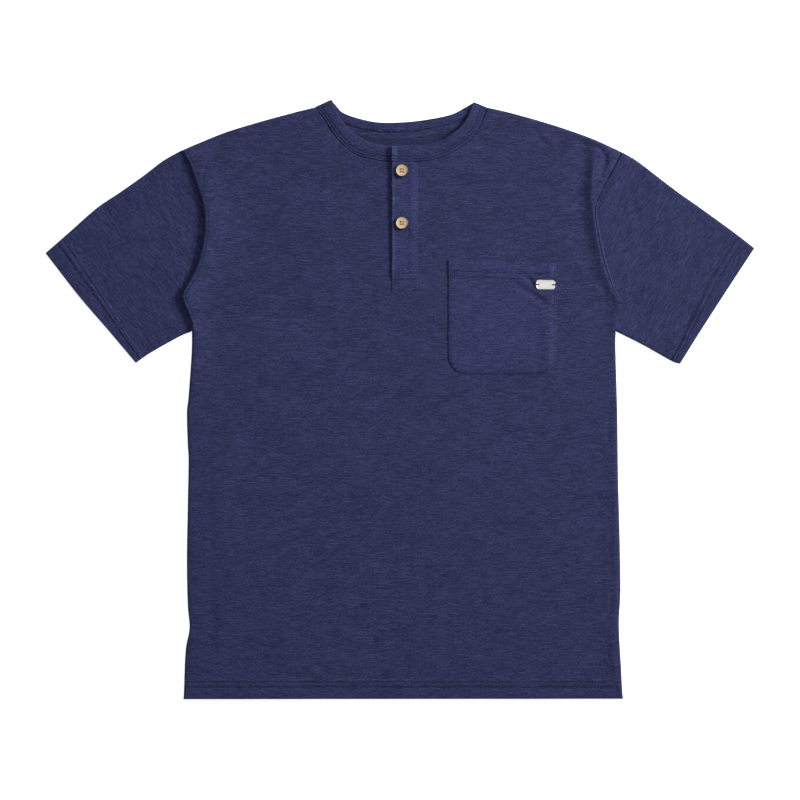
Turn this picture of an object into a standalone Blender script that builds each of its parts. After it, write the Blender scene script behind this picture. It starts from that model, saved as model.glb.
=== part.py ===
"""A short-sleeved henley t-shirt in slub jersey, laid flat with its front up.

The shirt lies on the plane z = 0. Its length runs along Y, with the neck at +Y, and the
wearer's left is at +X. Every table below is in millimetres: x from the middle of the laid
garment, y above the hem, z above what it lies on. The panels lie on each other as a flattened
shirt's do: the back flat on the ground, the front over it, and at each folded edge the two
turn towards each other and stop 0.3 mm apart, at the seam.
"""
import math

import bmesh
import bpy
from mathutils import Vector
from mathutils.geometry import delaunay_2d_cdt

# ---------------------------------------------------------------- driving dimensions, in mm
MM = 0.001
MIDDLE = 359.65           # half of the laid length, from the hem to the top of the band
CLOTH = 1.0               # wall of a single layer of jersey
HEM_CLOTH = 1.5           # wall of a turned hem, two layers pressed
GAP = 0.3                 # between two pieces at a seam
HEM_DEPTH = 17.0          # from the folded edge to the upper needle line
LIE = 3.3                 # top of the front where it lies quietly on the back
SEAM_LOW = 1.3            # where the back ends at a folded edge
SEAM_HIGH = SEAM_LOW + GAP
ROLL = 2.6                # how far in from a folded edge the cloth is level again
RIM_LOW = 1.9             # how far down the front's rim reaches along an armhole
RIM_ROLL = 3.4            # how far in the wearer's right rim is level again
GRID = 20.0               # spacing of the points inside a panel
EDGE_STEP = 22.0          # spacing of the points along a panel's straight edges
FINE_GRID = 15.0          # the same two on the pocket and the placket
FINE_STEP = 13.0

BAND_THICK = 1.6          # folded neck band
BAND_FRONT = 3.5          # top of the band on the front
BAND_OVER = 5.4           # top of its upper end, where it crosses the under end
BAND_INSET = 0.8          # how far the band stays off the seams where it turns at a shoulder

SLOT_LEFT, SLOT_RIGHT, SLOT_FOOT = -8.0, 21.0, 508.0
PLACKET_LEFT, PLACKET_RIGHT, PLACKET_FOOT = -9.8, 21.2, 488.0
PLACKET_TOP = 645.4
PLACKET_THICK = 1.0
PLACKET_LIFT = 1.1        # how far the free edge stands off at the neck

POCKET_LEFT, POCKET_RIGHT = 58.2, 187.6
POCKET_TOP, POCKET_FOOT = 528.5, 390.0
POCKET_SLANT = -0.035     # the mouth falls this much per mm towards the wearer's left
POCKET_CORNER = 25.0
POCKET_THICK = 1.0

BUTTON_R = 7.8
BUTTON_THICK = 2.6
BUTTON_X = 2.0
BUTTON_SHANK = 0.6        # thread between the placket's face and a button's back
BUTTON_Y = {"button_top": 635.0, "button_lower": 572.0}

TAG_X, TAG_Y, TAG_TURN = 174.7, 498.0, math.radians(-1.0)
TAG_LONG, TAG_WIDE, TAG_THICK = 23.0, 11.2, 0.9
TAG_LIFT = 0.4            # how far the tag stands off the pocket's face

NAVY = (0.031, 0.036, 0.094, 1.0)
WOOD = (0.52, 0.34, 0.18, 1.0)
STEEL = (0.78, 0.78, 0.79, 1.0)

# ---------------------------------------------------------------- the cut, in mm (x, y)
# Each line runs the way its name says. A smooth curve is drawn through its points.
SHOULDER = {
    "right": [(-103, 711), (-131, 704), (-171, 693), (-207, 682), (-235, 671), (-263, 659)],
    "left": [(105, 711), (135, 704), (174, 693), (208, 682), (237, 671), (267, 657)],
}
ARMHOLE = {                # from the shoulder down to the side seam
    "right": [(-263, 659), (-254, 642), (-248, 626), (-242, 609), (-237.5, 593.5),
              (-235.8, 578), (-236.2, 562), (-238.5, 546), (-242.5, 529), (-248, 514),
              (-255, 501), (-263, 487), (-261, 476), (-256, 464), (-252, 453), (-250, 442)],
    "left": [(267, 657), (261, 640), (250, 625), (242, 609), (235, 592), (235, 575),
             (238, 558), (241, 541), (245, 526), (249, 513), (254, 498), (259, 486),
             (265, 477), (261, 466), (258.5, 456), (259, 442)],
}
SIDE = {                   # from the armhole down to the hem
    "right": [(-250, 442), (-250.3, 417), (-254, 364), (-256, 345), (-255, 306), (-254, 287),
              (-255, 230), (-256, 167), (-255, 114), (-252.8, 86), (-257.5, 59), (-259.5, 11),
              (-260, 0.5)],
    "left": [(259, 442), (259, 417), (261, 345), (262, 268), (264, 191), (264.8, 131),
             (263, 89), (265.6, 38), (267, 11), (268, 1)],
}
SLEEVE_FOLD = {            # the top fold, from the armhole out to the cuff
    "right": [(-263, 659), (-284, 647), (-309, 628), (-336, 609), (-364, 590), (-397, 561),
              (-425.5, 536)],
    "left": [(267, 657), (284, 647), (309, 628), (334, 609), (361, 590), (401, 561),
             (425.5, 542)],
}
UNDERARM = {               # from the armhole out to the cuff
    "right": [(-250, 442), (-264, 436), (-298, 417), (-317, 404)],
    "left": [(259, 442), (291, 426), (325, 407), (336, 403)],
}
CUFF = {                   # from the top fold down to the underarm
    "right": [(-425.5, 536), (-386, 485), (-352, 445.5), (-317, 404)],
    "left": [(425.5, 542), (394, 494), (363, 446), (336, 403)],
}
NECK_SEAM = [(-103, 711), (-91, 696), (-76, 674), (-55, 655), (-27, 647), (-10, 645.7),
             (8, 645.4), (38, 648), (68, 660), (90, 679), (101, 700), (105, 711)]
NECK_EDGE = [(-82.5, 719), (-75, 703), (-60, 684), (-37, 669.5), (-15, 665), (0, 665),
             (30, 666), (53, 674), (74, 689), (84, 706), (88, 717.5)]
BACK_SEAM = [(-103, 711), (-80, 693), (-55, 682), (-30, 676.5), (0, 675), (30, 678), (60, 685),
             (85, 696), (105, 711)]
BACK_EDGE = [(-82.5, 719), (-75, 709.5), (-60, 701), (-30, 693.5), (0, 693), (30, 696),
             (60, 702), (75, 709), (88, 717.5)]

# ---------------------------------------------------------------- how the front lies, in mm
# Broad waves: height, length of one wave, direction it runs in degrees, where it starts.
WAVES = [
    # rise, length, heading, start
    (0.20, 310.0, 12.0, 40.0),
    (0.15, 190.0, 64.0, 10.0),
    (0.10, 130.0, -38.0, 75.0),
]
# Folds: the line of each crest, its rise, and its width on each side of that line.
FOLDS = [
    # line of the crest, rise, width before the line, width after it
    {"name": "left_tuck", "rise": 2.0, "left": 8.0, "right": 7.0,
     "line": [(230, 668), (231, 640), (229, 610), (230, 584), (233, 557), (240, 528)]},
    {"name": "left_shoulder_roll", "rise": 1.2, "left": 7.0, "right": 16.0,
     "line": [(205, 675), (236, 665), (254, 652), (252, 634), (244, 618)]},
    {"name": "right_rim", "rise": 2.1, "left": 9.0, "right": 30.0,
     "line": [(-258, 640), (-243, 600), (-239, 570), (-243, 530), (-255, 500), (-262, 480)]},
    {"name": "right_crease", "rise": 0.7, "left": 6.0, "right": 8.0,
     "line": [(-230, 648), (-237, 620), (-236, 606)]},
    {"name": "lower_right", "rise": 0.7, "left": 14.0, "right": 20.0,
     "line": [(-214, 280), (-221, 220), (-210, 165)]},
    {"name": "left_side_wrap", "rise": 0.8, "left": 9.0, "right": 8.0,
     "line": [(257, 320), (258, 210), (257, 110), (260, 20)]},
]
SLEEVE_LIE = {             # top of a sleeve: at the armhole, in its middle and at the cuff
    "right": (2.7, 3.2, 3.5),
    "left": (4.2, 3.3, 3.5),
}


# ---------------------------------------------------------------- curves and heights
def smooth(points, step):
    """Points along a smooth curve through the given ones, about one step apart."""
    knots = [Vector(p) for p in points]
    ends = [knots[0] * 2 - knots[1]] + knots + [knots[-1] * 2 - knots[-2]]
    line = [knots[0]]
    for a, b, c, d in zip(ends, ends[1:], ends[2:], ends[3:]):
        count = max(1, round((c - b).length / step))
        for k in range(1, count + 1):
            t = k / count
            line.append(0.5 * ((2 * b) + (c - a) * t + (2 * a - 5 * b + 4 * c - d) * t ** 2
                               + (3 * b - a - 3 * c + d) * t ** 3))
    return line


def evenly(line, count):
    """The same line as a given number of points at equal distances."""
    lengths = [0.0]
    for a, b in zip(line, line[1:]):
        lengths.append(lengths[-1] + (b - a).length)
    result, k = [], 0
    for i in range(count):
        target = lengths[-1] * i / (count - 1)
        while k < len(line) - 2 and lengths[k + 1] < target:
            k += 1
        share = (target - lengths[k]) / (lengths[k + 1] - lengths[k])
        result.append(line[k].lerp(line[k + 1], min(1.0, share)))
    return result


def straight(a, b, step):
    """Points from a to b, both included."""
    count = max(1, round((Vector(b) - Vector(a)).length / step))
    return [Vector(a).lerp(Vector(b), k / count) for k in range(count + 1)]


def across(point, line):
    """Signed distance from a line (plus is its left side) and the share of the way along it."""
    best = (1e9, 0.0, 0.0)
    for k, (a, b) in enumerate(zip(line, line[1:])):
        run = b - a
        share = max(0.0, min(1.0, (point - a).dot(run) / run.length_squared))
        offset = point - (a + run * share)
        if offset.length < best[0]:
            side = math.copysign(1.0, run.x * offset.y - run.y * offset.x)
            best = (offset.length, side, (k + share) / (len(line) - 1))
    return best[0] * best[1], best[2]


FOLD_LINES = [[Vector(p) for p in fold["line"]] for fold in FOLDS]


def fold_rise(point):
    """Height that the folds add at a point. A fold runs out towards both its ends."""
    total = 0.0
    for fold, line in zip(FOLDS, FOLD_LINES):
        distance, share = across(point, line)
        # the lines run down the shirt, so a plus distance is on the wearer's left
        width = fold["right"] if distance > 0 else fold["left"]
        if abs(distance) < 3 * width:
            total += fold["rise"] * math.exp(-(distance / width) ** 2) * math.sin(
                math.pi * (0.12 + 0.76 * share)) ** 0.7
    return total


def wave_rise(point):
    """Height of the broad, shallow waves at a point."""
    total = 0.0
    for rise, length, heading, start in WAVES:
        run = point.x * math.cos(math.radians(heading)) + point.y * math.sin(math.radians(heading))
        total += rise * math.sin(math.tau * (run - start) / length)
    return total


def front_top(point):
    """Height of the front's outer face."""
    hem = max(0.0, 1.0 - abs(point.y) / (HEM_DEPTH + 6.0))
    return LIE + wave_rise(point) + fold_rise(point) + 0.6 * hem


def wall(point):
    """Thickness of a body panel, doubled at its hem."""
    return HEM_CLOTH if point.y < HEM_DEPTH + 1.0 else CLOTH


# ---------------------------------------------------------------- meshes
def finish(name, bm, color=NAVY, roughness=0.9, metallic=0.0, sharp=40, place=(0, 0, 0),
           turn=0.0):
    """Makes the object: millimetres to metres, outward faces, its material, its parent.

    sharp is the angle in degrees from which an edge stays crisp. turn is about Z.
    """
    for vert in bm.verts:
        vert.co *= MM
    bmesh.ops.recalc_face_normals(bm, faces=bm.faces)
    mesh = bpy.data.meshes.new(name)
    bm.to_mesh(mesh)
    bm.free()
    mesh.shade_smooth()
    mesh.set_sharp_from_angle(angle=math.radians(sharp))
    material = bpy.data.materials.new(name + "_finish")
    material.use_nodes = True
    shader = material.node_tree.nodes["Principled BSDF"]
    shader.inputs["Base Color"].default_value = color
    shader.inputs["Roughness"].default_value = roughness
    shader.inputs["Metallic"].default_value = metallic
    material.diffuse_color = color
    mesh.materials.append(material)
    obj = bpy.data.objects.new(name, mesh)
    obj.location = Vector(place) * MM
    obj.rotation_euler = (0.0, 0.0, turn)
    obj.parent = garment
    bpy.context.scene.collection.objects.link(obj)
    return obj


def inward(outline):
    """For each point of a closed anticlockwise outline, the step that moves it 1 mm in."""
    steps = []
    for i, here in enumerate(outline):
        before = (here - outline[i - 1]).normalized()
        after = (outline[(i + 1) % len(outline)] - here).normalized()
        n1, n2 = Vector((-before.y, before.x)), Vector((-after.y, after.x))
        steps.append((n1 + n2) / max(0.5, 1.0 + n1.dot(n2)))
    return steps


def inside(point, ring):
    """True where a point lies inside a closed ring."""
    odd = False
    for a, b in zip(ring, ring[1:] + ring[:1]):
        if (a.y > point.y) != (b.y > point.y):
            if point.x < a.x + (point.y - a.y) * (b.x - a.x) / (b.y - a.y):
                odd = not odd
    return odd


def clearance(point, ring):
    """Distance from a point to a closed ring."""
    return abs(across(point, ring + ring[:1])[0])


def triangulate(ring, spacing, extra=()):
    """Fills a ring with even triangles: the points inside it, and the triangles."""
    points = list(ring)
    low = Vector((min(p.x for p in ring), min(p.y for p in ring)))
    high = Vector((max(p.x for p in ring), max(p.y for p in ring)))
    row_step = spacing * math.sqrt(3) / 2
    own = [p for p in extra if inside(p, ring) and clearance(p, ring) > 2.5]
    points += own
    for row in range(int((high.y - low.y) / row_step) + 1):
        for col in range(int((high.x - low.x) / spacing) + 1):
            point = low + Vector(((col + 0.5 * (row % 2)) * spacing, (row + 0.5) * row_step))
            if not inside(point, ring) or clearance(point, ring) < 0.45 * spacing:
                continue
            if all((point - other).length > 0.5 * spacing for other in own):
                points.append(point)
    count = len(ring)
    edges = [(i, (i + 1) % count) for i in range(count)]
    made = delaunay_2d_cdt(points, edges, [list(range(count))], 1, 1e-7)
    return made[0], made[2]


def panel(name, outline, profile, top, bottom, spacing, extra=()):
    """A piece of cloth: an outline, its two faces, and the profile of its edge.

    profile(point) gives the edge's section there, from the upper face round to the lower one,
    as rows of (distance in from the outline, height). Its first and last rows are on the faces.
    """
    steps = inward(outline)
    sections = [profile(p) for p in outline]
    rings = []
    bm = bmesh.new()
    for r in range(len(sections[0])):
        plan = [p + n * s[r][0] for p, n, s in zip(outline, steps, sections)]
        rings.append([bm.verts.new((q.x, q.y, s[r][1])) for q, s in zip(plan, sections)])
        if r == 0:
            upper_plan = plan
        lower_plan = plan
    count = len(outline)
    for ring, following in zip(rings, rings[1:]):
        for i in range(count):
            j = (i + 1) % count
            bm.faces.new((ring[i], ring[j], following[j], following[i]))
    for plan, ring, face, up in ((upper_plan, rings[0], top, True),
                                 (lower_plan, rings[-1], bottom, False)):
        points, triangles = triangulate(plan, spacing, extra)
        verts = ring + [bm.verts.new((p.x, p.y, face(p))) for p in points[count:]]
        for triangle in triangles:
            corners = [verts[i] for i in triangle]
            bm.faces.new(corners if up else corners[::-1])
    finish(name, bm)


ROUND_IN, ROUND_UP = 0.30, 0.78      # where a rolled edge is half round: shares of its reach
                                     # inwards and of its height


def rolled(end, top, bottom, reach=ROLL):
    """Edge that curves down from a level face to end at a seam, as a folded cloth does."""
    middle = CLOTH + ROUND_IN * (reach - CLOTH)
    return [(reach, top), (ROUND_IN * reach, end + ROUND_UP * (top - end)), (0.0, end),
            (CLOTH, end), (middle, end + ROUND_UP * (bottom - end)), (reach, bottom)]


def curled(end, top, bottom, reach=ROLL):
    """Edge that curves up from the ground to end at a seam: the back's share of a fold."""
    middle = CLOTH + ROUND_IN * (reach - CLOTH)
    return [(reach, top), (middle, end + ROUND_UP * (top - end)), (CLOTH, end),
            (0.0, end), (ROUND_IN * reach, end + ROUND_UP * (bottom - end)), (reach, bottom)]


def cut(top, bottom, reach=ROLL, soft=0.4):
    """Edge of a folded hem or a strip: a small round on both sides."""
    return [(reach, top), (soft, top), (0.0, top - soft), (0.0, bottom + soft),
            (soft, bottom), (reach, bottom)]


# ---------------------------------------------------------------- seams that two pieces share
ARM_POINTS = 25            # points down each armhole, the same on the body and the sleeve
NECK_POINTS = 17           # points along each half of the front's neck, on the panel and band
NAPE_POINTS = 22           # points along the back's neck


def up_to(line, x):
    """The part of a dense line from its start to where it reaches x."""
    for k, (a, b) in enumerate(zip(line, line[1:])):
        if (a.x - x) * (b.x - x) <= 0 and a.x != b.x:
            return line[:k + 1] + [a.lerp(b, (x - a.x) / (b.x - a.x))]
    return line


def outward(line, amount):
    """An open line moved sideways, to the right of the way it runs."""
    moved = []
    for i, here in enumerate(line):
        before = (here - line[max(i - 1, 0)]).normalized()
        after = (line[min(i + 1, len(line) - 1)] - here).normalized()
        before, after = before if i else after, after if i < len(line) - 1 else before
        n1, n2 = Vector((before.y, -before.x)), Vector((after.y, -after.x))
        moved.append(here + (n1 + n2) * (amount / (1.0 + n1.dot(n2))))
    return moved


UNDER_END = SLOT_RIGHT - 1.0
ARM = {side: evenly(smooth(points, 1.5), ARM_POINTS) for side, points in ARMHOLE.items()}
NECK = {                   # each half of the front's neck: its seam and its free edge
    "right": [evenly(up_to(smooth(line, 1.5), UNDER_END), NECK_POINTS)
              for line in (NECK_SEAM, NECK_EDGE)],
    "left": [evenly(up_to(smooth(line[::-1], 1.5), PLACKET_LEFT), NECK_POINTS)
             for line in (NECK_SEAM, NECK_EDGE)],
}
NAPE = [evenly(smooth(line, 1.5), NAPE_POINTS) for line in (BACK_SEAM, BACK_EDGE)]
FOLD_EDGES = [smooth(points, 10.0) for table in (SHOULDER, SIDE) for points in table.values()]


# ---------------------------------------------------------------- front and back
def near(point, line):
    return abs(across(point, line)[0]) < 1.0


def at_armhole(point):
    for side, line in ARM.items():
        if near(point, line):
            return side
    return None


def at_fold(point):
    return point.y > 3.0 and any(near(point, line) for line in FOLD_EDGES)


def body_outline(neck):
    """The outline of a body panel, anticlockwise from the hem at the wearer's right."""
    outline = straight(SIDE["right"][-1], SIDE["left"][-1], EDGE_STEP)[:-1]
    outline += smooth(SIDE["left"][::-1], EDGE_STEP)[:-1]
    outline += ARM["left"][:0:-1]
    outline += smooth(SHOULDER["left"][::-1], EDGE_STEP)[:-1]
    outline += neck[:-1]
    outline += smooth(SHOULDER["right"], EDGE_STEP)[:-1]
    outline += ARM["right"][:-1]
    outline += smooth(SIDE["right"], EDGE_STEP)[:-1]
    return [p + n * (GAP / 2) for p, n in zip(outline, inward(outline))]


def slit_neck():
    """The front's neck from the wearer's left to the right, with the slit for the placket."""
    apart = 3.0            # the neck's own points stay this far from the slit's corners
    line = [p for p in NECK["left"][0] if p.x > SLOT_RIGHT + apart]
    line += straight((SLOT_RIGHT, PLACKET_TOP), (SLOT_RIGHT, SLOT_FOOT), EDGE_STEP)
    line += straight((SLOT_RIGHT, SLOT_FOOT), (SLOT_LEFT, SLOT_FOOT), EDGE_STEP)[1:-1]
    line += straight((SLOT_LEFT, SLOT_FOOT), (SLOT_LEFT, PLACKET_TOP + 0.3), EDGE_STEP)
    return line + [p for p in NECK["right"][0][::-1] if p.x < SLOT_LEFT - apart]


def fold_points():
    """Rows of points beside each fold, so that the panel's triangles follow it."""
    points = []
    for fold, line in zip(FOLDS, FOLD_LINES):
        path = smooth(line, FINE_STEP)
        for before, here, after in zip(path, path[1:], path[2:]):
            normal = Vector((before.y - after.y, after.x - before.x)).normalized()
            for offset in (-1.5 * fold["right"], -0.6 * fold["right"], 0.0,
                           0.6 * fold["left"], 1.5 * fold["left"]):
                point = here + normal * offset
                if all((point - other).length > 4.0 for other in points):
                    points.append(point)
    return points


def make_front():
    def profile(point):
        top = front_top(point)
        arm = at_armhole(point)
        if arm == "right":
            return rolled(RIM_LOW, top, top - CLOTH, reach=RIM_ROLL)
        if arm == "left":
            return rolled(RIM_LOW, top, top - CLOTH)
        if at_fold(point):
            return rolled(SEAM_HIGH, top, top - wall(point))
        return cut(top, top - wall(point))

    panel("front", body_outline(slit_neck()), profile, front_top,
          lambda p: front_top(p) - wall(p), GRID, fold_points())


def make_back():
    def profile(point):
        if at_armhole(point) or at_fold(point):
            return curled(SEAM_LOW, wall(point), 0.0)
        return cut(wall(point), 0.0)

    panel("back", body_outline(NAPE[0][::-1]), profile, wall, lambda p: 0.0, 3 * GRID)


# ---------------------------------------------------------------- sleeves
SLEEVE_ROWS = 8            # sections from the armhole to the cuff
FOLD_MIDDLE = 1.75         # height of the middle of a sleeve's folded edge
TURN = [                   # a quarter of the round of a folded edge
    # share of the reach inwards, share of the height
    (0.0, 0.0), (ROUND_IN, ROUND_UP), (1.0, 1.0),
]


def sleeve_plan(side):
    """Where a sleeve's points lie, between its armhole, cuff, top fold and underarm."""
    away = -1 if side == "left" else 1
    arm = outward(ARM[side], away * GAP / 2)
    cuff, fold, under = (evenly(smooth([arm[end]] * own + table[side][own:], 2.0), ARM_POINTS)
                         for table, end, own in ((CUFF, 0, 0), (SLEEVE_FOLD, 0, 1),
                                                 (UNDERARM, -1, 1)))

    def along(line, share):
        place = share * (len(line) - 1)
        k = min(int(place + 1e-9), len(line) - 2)
        return line[k].lerp(line[k + 1], place - k)

    def plan(s, t):
        """s runs from the armhole to the cuff, t from the top fold to the underarm."""
        sides = along(arm, t).lerp(along(cuff, t), s)
        ends = along(fold, s).lerp(along(under, s), t)
        corners = (arm[0].lerp(cuff[0], s)).lerp(arm[-1].lerp(cuff[-1], s), t)
        return sides + ends - corners

    def width(s):
        lines = [sum((b - a).length for a, b in zip(line, line[1:])) for line in (arm, cuff)]
        return lines[0] + (lines[1] - lines[0]) * s

    return plan, width


def sleeve_top(side, s, point):
    """Height of a sleeve's outer face, a share s of the way to its cuff."""
    arm, middle, cuff = SLEEVE_LIE[side]
    high = arm + (middle - arm) * min(1.0, 4.0 * s) ** 0.7
    return high + (cuff - middle) * max(0.0, 6.0 * s - 5.0) + 0.4 * wave_rise(point)


def make_sleeve(side):
    """A flattened tube of cloth. Each section is a loop: over the top and back underneath."""
    plan, width = sleeve_plan(side)
    length = (plan(1, 0.5) - plan(0, 0.5)).length
    stations = [k / SLEEVE_ROWS for k in range(SLEEVE_ROWS + 1)]
    hem_from = 1.0 - HEM_DEPTH / length
    level = [k / (ARM_POINTS - 1) for k in range(1, ARM_POINTS - 1)]

    def loop(s, deep):
        """One section; deep is 0 for its outer face and 1 for its inner one."""
        thick = deep * (HEM_CLOTH if s > hem_from else CLOTH)
        turn = [((thick + (ROLL - thick) * inset) / width(s), rise) for inset, rise in TURN]
        upper = turn + [(t, 1.0) for t in level] + [(1.0 - t, rise) for t, rise in turn[::-1]]
        points = []
        for t, rise in upper:
            point = plan(s, t)
            high = sleeve_top(side, s, point) - thick
            points.append((point.x, point.y, FOLD_MIDDLE + (high - FOLD_MIDDLE) * rise))
        for t, rise in upper[-2:0:-1]:
            point = plan(s, t)
            points.append((point.x, point.y, FOLD_MIDDLE + (thick - FOLD_MIDDLE) * rise))
        return points

    bm = bmesh.new()
    rings = [[bm.verts.new(p) for p in loop(s, 0.0)] for s in stations]
    rings += [[bm.verts.new(p) for p in loop(s, 1.0)] for s in stations[::-1]]
    for ring, following in zip(rings, rings[1:] + rings[:1]):
        for i, here in enumerate(ring):
            bm.faces.new((ring[i - 1], here, following[i], following[i - 1]))
    finish("sleeve_" + side, bm)


# ---------------------------------------------------------------- neck band
BAND_SECTION = [           # round a section, from the seam over the outer face and back
    # share of the width from the seam, share of the thickness from the middle
    (0.0, -0.3), (0.0, 0.3), (0.03, 0.5), (0.93, 0.5), (1.0, 0.25),
    (1.0, -0.25), (0.93, -0.5), (0.03, -0.5),
]
BAND_TURN = [75, 45, 0, -45, -75]     # degrees round each folded corner


def band_height(side, x):
    """Top of the band on the front. The upper end climbs over the under end."""
    if side == "right":
        return BAND_FRONT
    climb = max(0.0, min(1.0, (75.0 - x) / 50.0))
    return BAND_FRONT + (BAND_OVER - BAND_FRONT) * climb ** 2 * (3 - 2 * climb)


def make_band():
    """A folded strip round the neck. Its sections follow it from the under end, up the
    wearer's right, across the nape, down the left and over to the upper end."""
    radius = (BAND_FRONT - BAND_THICK) / 2
    middle = BAND_FRONT / 2
    flat = Vector((0, 0, 1))
    sections = []          # seam point, edge point, way out of the outer face

    def place(seam, edge, z, out):
        run = (edge - seam).normalized()
        inset = GAP / 2 if out in (flat, -flat) else BAND_INSET
        seam = seam + run * inset
        sections.append((Vector((*seam, z)), Vector((*edge, z)), out))

    def corner(seam, edge, angles):
        run = (edge - seam).normalized()
        away = Vector((-run.y, run.x))
        if away.y < 0:
            away = -away
        centre = -away * (radius + BAND_THICK / 2)
        for angle in angles:
            c, s = math.cos(math.radians(angle)), math.sin(math.radians(angle))
            shift = centre + away * radius * c
            place(seam + shift, edge + shift, middle + radius * s, Vector((*(away * c), s)))

    # the two points nearest a shoulder give way to the folded corner there
    for seam, edge in list(zip(*NECK["right"]))[:1:-1]:
        place(seam, edge, band_height("right", seam.x) - BAND_THICK / 2, flat)
    corner(NAPE[0][0], NAPE[1][0], BAND_TURN)
    for seam, edge in list(zip(*NAPE))[2:-2]:
        place(seam, edge, BAND_THICK / 2, -flat)
    corner(NAPE[0][-1], NAPE[1][-1], BAND_TURN[::-1])
    for seam, edge in list(zip(*NECK["left"]))[2:]:
        place(seam, edge, band_height("left", seam.x) - BAND_THICK / 2, flat)

    bm = bmesh.new()
    rings = [[bm.verts.new(seam.lerp(edge, across_it) + out * (BAND_THICK * deep))
              for across_it, deep in BAND_SECTION] for seam, edge, out in sections]
    for ring, following in zip(rings, rings[1:]):
        for i, here in enumerate(ring):
            bm.faces.new((ring[i - 1], here, following[i], following[i - 1]))
    bm.faces.new(rings[0])
    bm.faces.new(rings[-1][::-1])
    finish("neck_band", bm)


# ---------------------------------------------------------------- placket, pocket
def placket_lift(point):
    """How far the upper placket's free edge stands off, most at the neck."""
    from_edge = max(0.0, 1.0 - (point.x - PLACKET_LEFT) / 9.0)
    up = max(0.0, (point.y - SLOT_FOOT) / (PLACKET_TOP - SLOT_FOOT))
    return PLACKET_LIFT * from_edge * up


def placket_top(point):
    return front_top(point) + GAP + PLACKET_THICK + placket_lift(point)


def box_outline(left, right, foot, top, step=FINE_STEP):
    corners = [(left, foot), (right, foot), (right, top), (left, top)]
    outline = []
    for a, b in zip(corners, corners[1:] + corners[:1]):
        outline += straight(a, b, step)[:-1]
    return outline


def make_strip(name, outline, top, thick):
    """A flat piece that lies on the front: its top face, and the same moved down."""
    panel(name, outline, lambda p: cut(top(p), top(p) - thick, reach=1.6, soft=0.35), top,
          lambda p: top(p) - thick, FINE_GRID)


def make_placket():
    make_strip("placket_under", box_outline(SLOT_LEFT + GAP, SLOT_RIGHT - GAP, SLOT_FOOT + GAP,
                                            PLACKET_TOP - 2 * GAP), front_top, PLACKET_THICK)
    make_strip("placket_upper", box_outline(PLACKET_LEFT, PLACKET_RIGHT, PLACKET_FOOT,
                                            PLACKET_TOP - 2 * GAP, 8.0), placket_top,
               PLACKET_THICK)


def pocket_outline():
    """Straight mouth and sides, round lower corners. Anticlockwise from the foot."""
    def mouth(x):
        return POCKET_TOP + POCKET_SLANT * (x - POCKET_LEFT)

    def round_corner(x, first):
        centre = Vector((x, POCKET_FOOT + POCKET_CORNER))
        angles = [math.radians(first + 15 * k) for k in range(7)]
        return [centre + Vector((math.cos(a), math.sin(a))) * POCKET_CORNER for a in angles]

    outline = round_corner(POCKET_LEFT + POCKET_CORNER, 180)
    outline += straight(outline[-1], (POCKET_RIGHT - POCKET_CORNER, POCKET_FOOT),
                        FINE_STEP)[1:-1]
    outline += round_corner(POCKET_RIGHT - POCKET_CORNER, 270)
    outline += straight(outline[-1], (POCKET_RIGHT, mouth(POCKET_RIGHT)), FINE_STEP)[1:]
    outline += straight(outline[-1], (POCKET_LEFT, mouth(POCKET_LEFT)), FINE_STEP)[1:]
    outline += straight(outline[-1], outline[0], FINE_STEP)[1:-1]
    return outline


def pocket_top(point):
    return front_top(point) + GAP + POCKET_THICK


def make_pocket():
    make_strip("pocket", pocket_outline(), pocket_top, POCKET_THICK)


# ---------------------------------------------------------------- buttons and tag
BUTTON_PROFILE = [         # half of a turned button, from the middle of its back to its dish
    # share of the radius, share of the thickness
    (0.0, 0.0), (0.62, 0.0), (0.90, 0.22), (1.0, 0.55), (0.95, 0.88), (0.84, 1.0),
    (0.72, 0.93), (0.62, 0.74), (0.0, 0.70),
]
BUTTON_SIDES = 28
HOLE_R, HOLE_OUT = 0.8, 2.15


def make_buttons():
    """Turned wooden buttons with a raised rim, each with four holes cut through."""
    cutter_bm = bmesh.new()
    for quarter in range(4):
        angle = math.radians(45 + 90 * quarter)
        made = bmesh.ops.create_cone(cutter_bm, cap_ends=True, segments=8, radius1=HOLE_R,
                                     radius2=HOLE_R, depth=3 * BUTTON_THICK)
        bmesh.ops.translate(cutter_bm, verts=made["verts"], vec=Vector(
            (HOLE_OUT * math.cos(angle), HOLE_OUT * math.sin(angle), BUTTON_THICK / 2)))
    for name, y in BUTTON_Y.items():
        bm = bmesh.new()
        profile = [bm.verts.new((r * BUTTON_R, 0, z * BUTTON_THICK)) for r, z in BUTTON_PROFILE]
        edges = [bm.edges.new(pair) for pair in zip(profile, profile[1:])]
        bmesh.ops.spin(bm, geom=profile + edges, cent=(0, 0, 0), axis=(0, 0, 1),
                       angle=math.tau, steps=BUTTON_SIDES, use_merge=True)
        bmesh.ops.remove_doubles(bm, verts=bm.verts, dist=0.001)
        seat = Vector((BUTTON_X, y))
        height = placket_top(seat) + BUTTON_SHANK
        button = finish(name, bm, WOOD, 0.55, place=(*seat, height))
        cutter = finish(name + "_holes", cutter_bm.copy(), WOOD, 0.55, place=(*seat, height))
        cutter.hide_render = True
        cutter.display_type = "WIRE"
        holes = button.modifiers.new("holes", "BOOLEAN")
        holes.operation = "DIFFERENCE"
        holes.object = cutter
    cutter_bm.free()


TAG_CORNER = 2.4
TAG_SLOT_LONG, TAG_SLOT_WIDE, TAG_SLOT_OUT = 2.6, 1.1, 8.6


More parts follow.
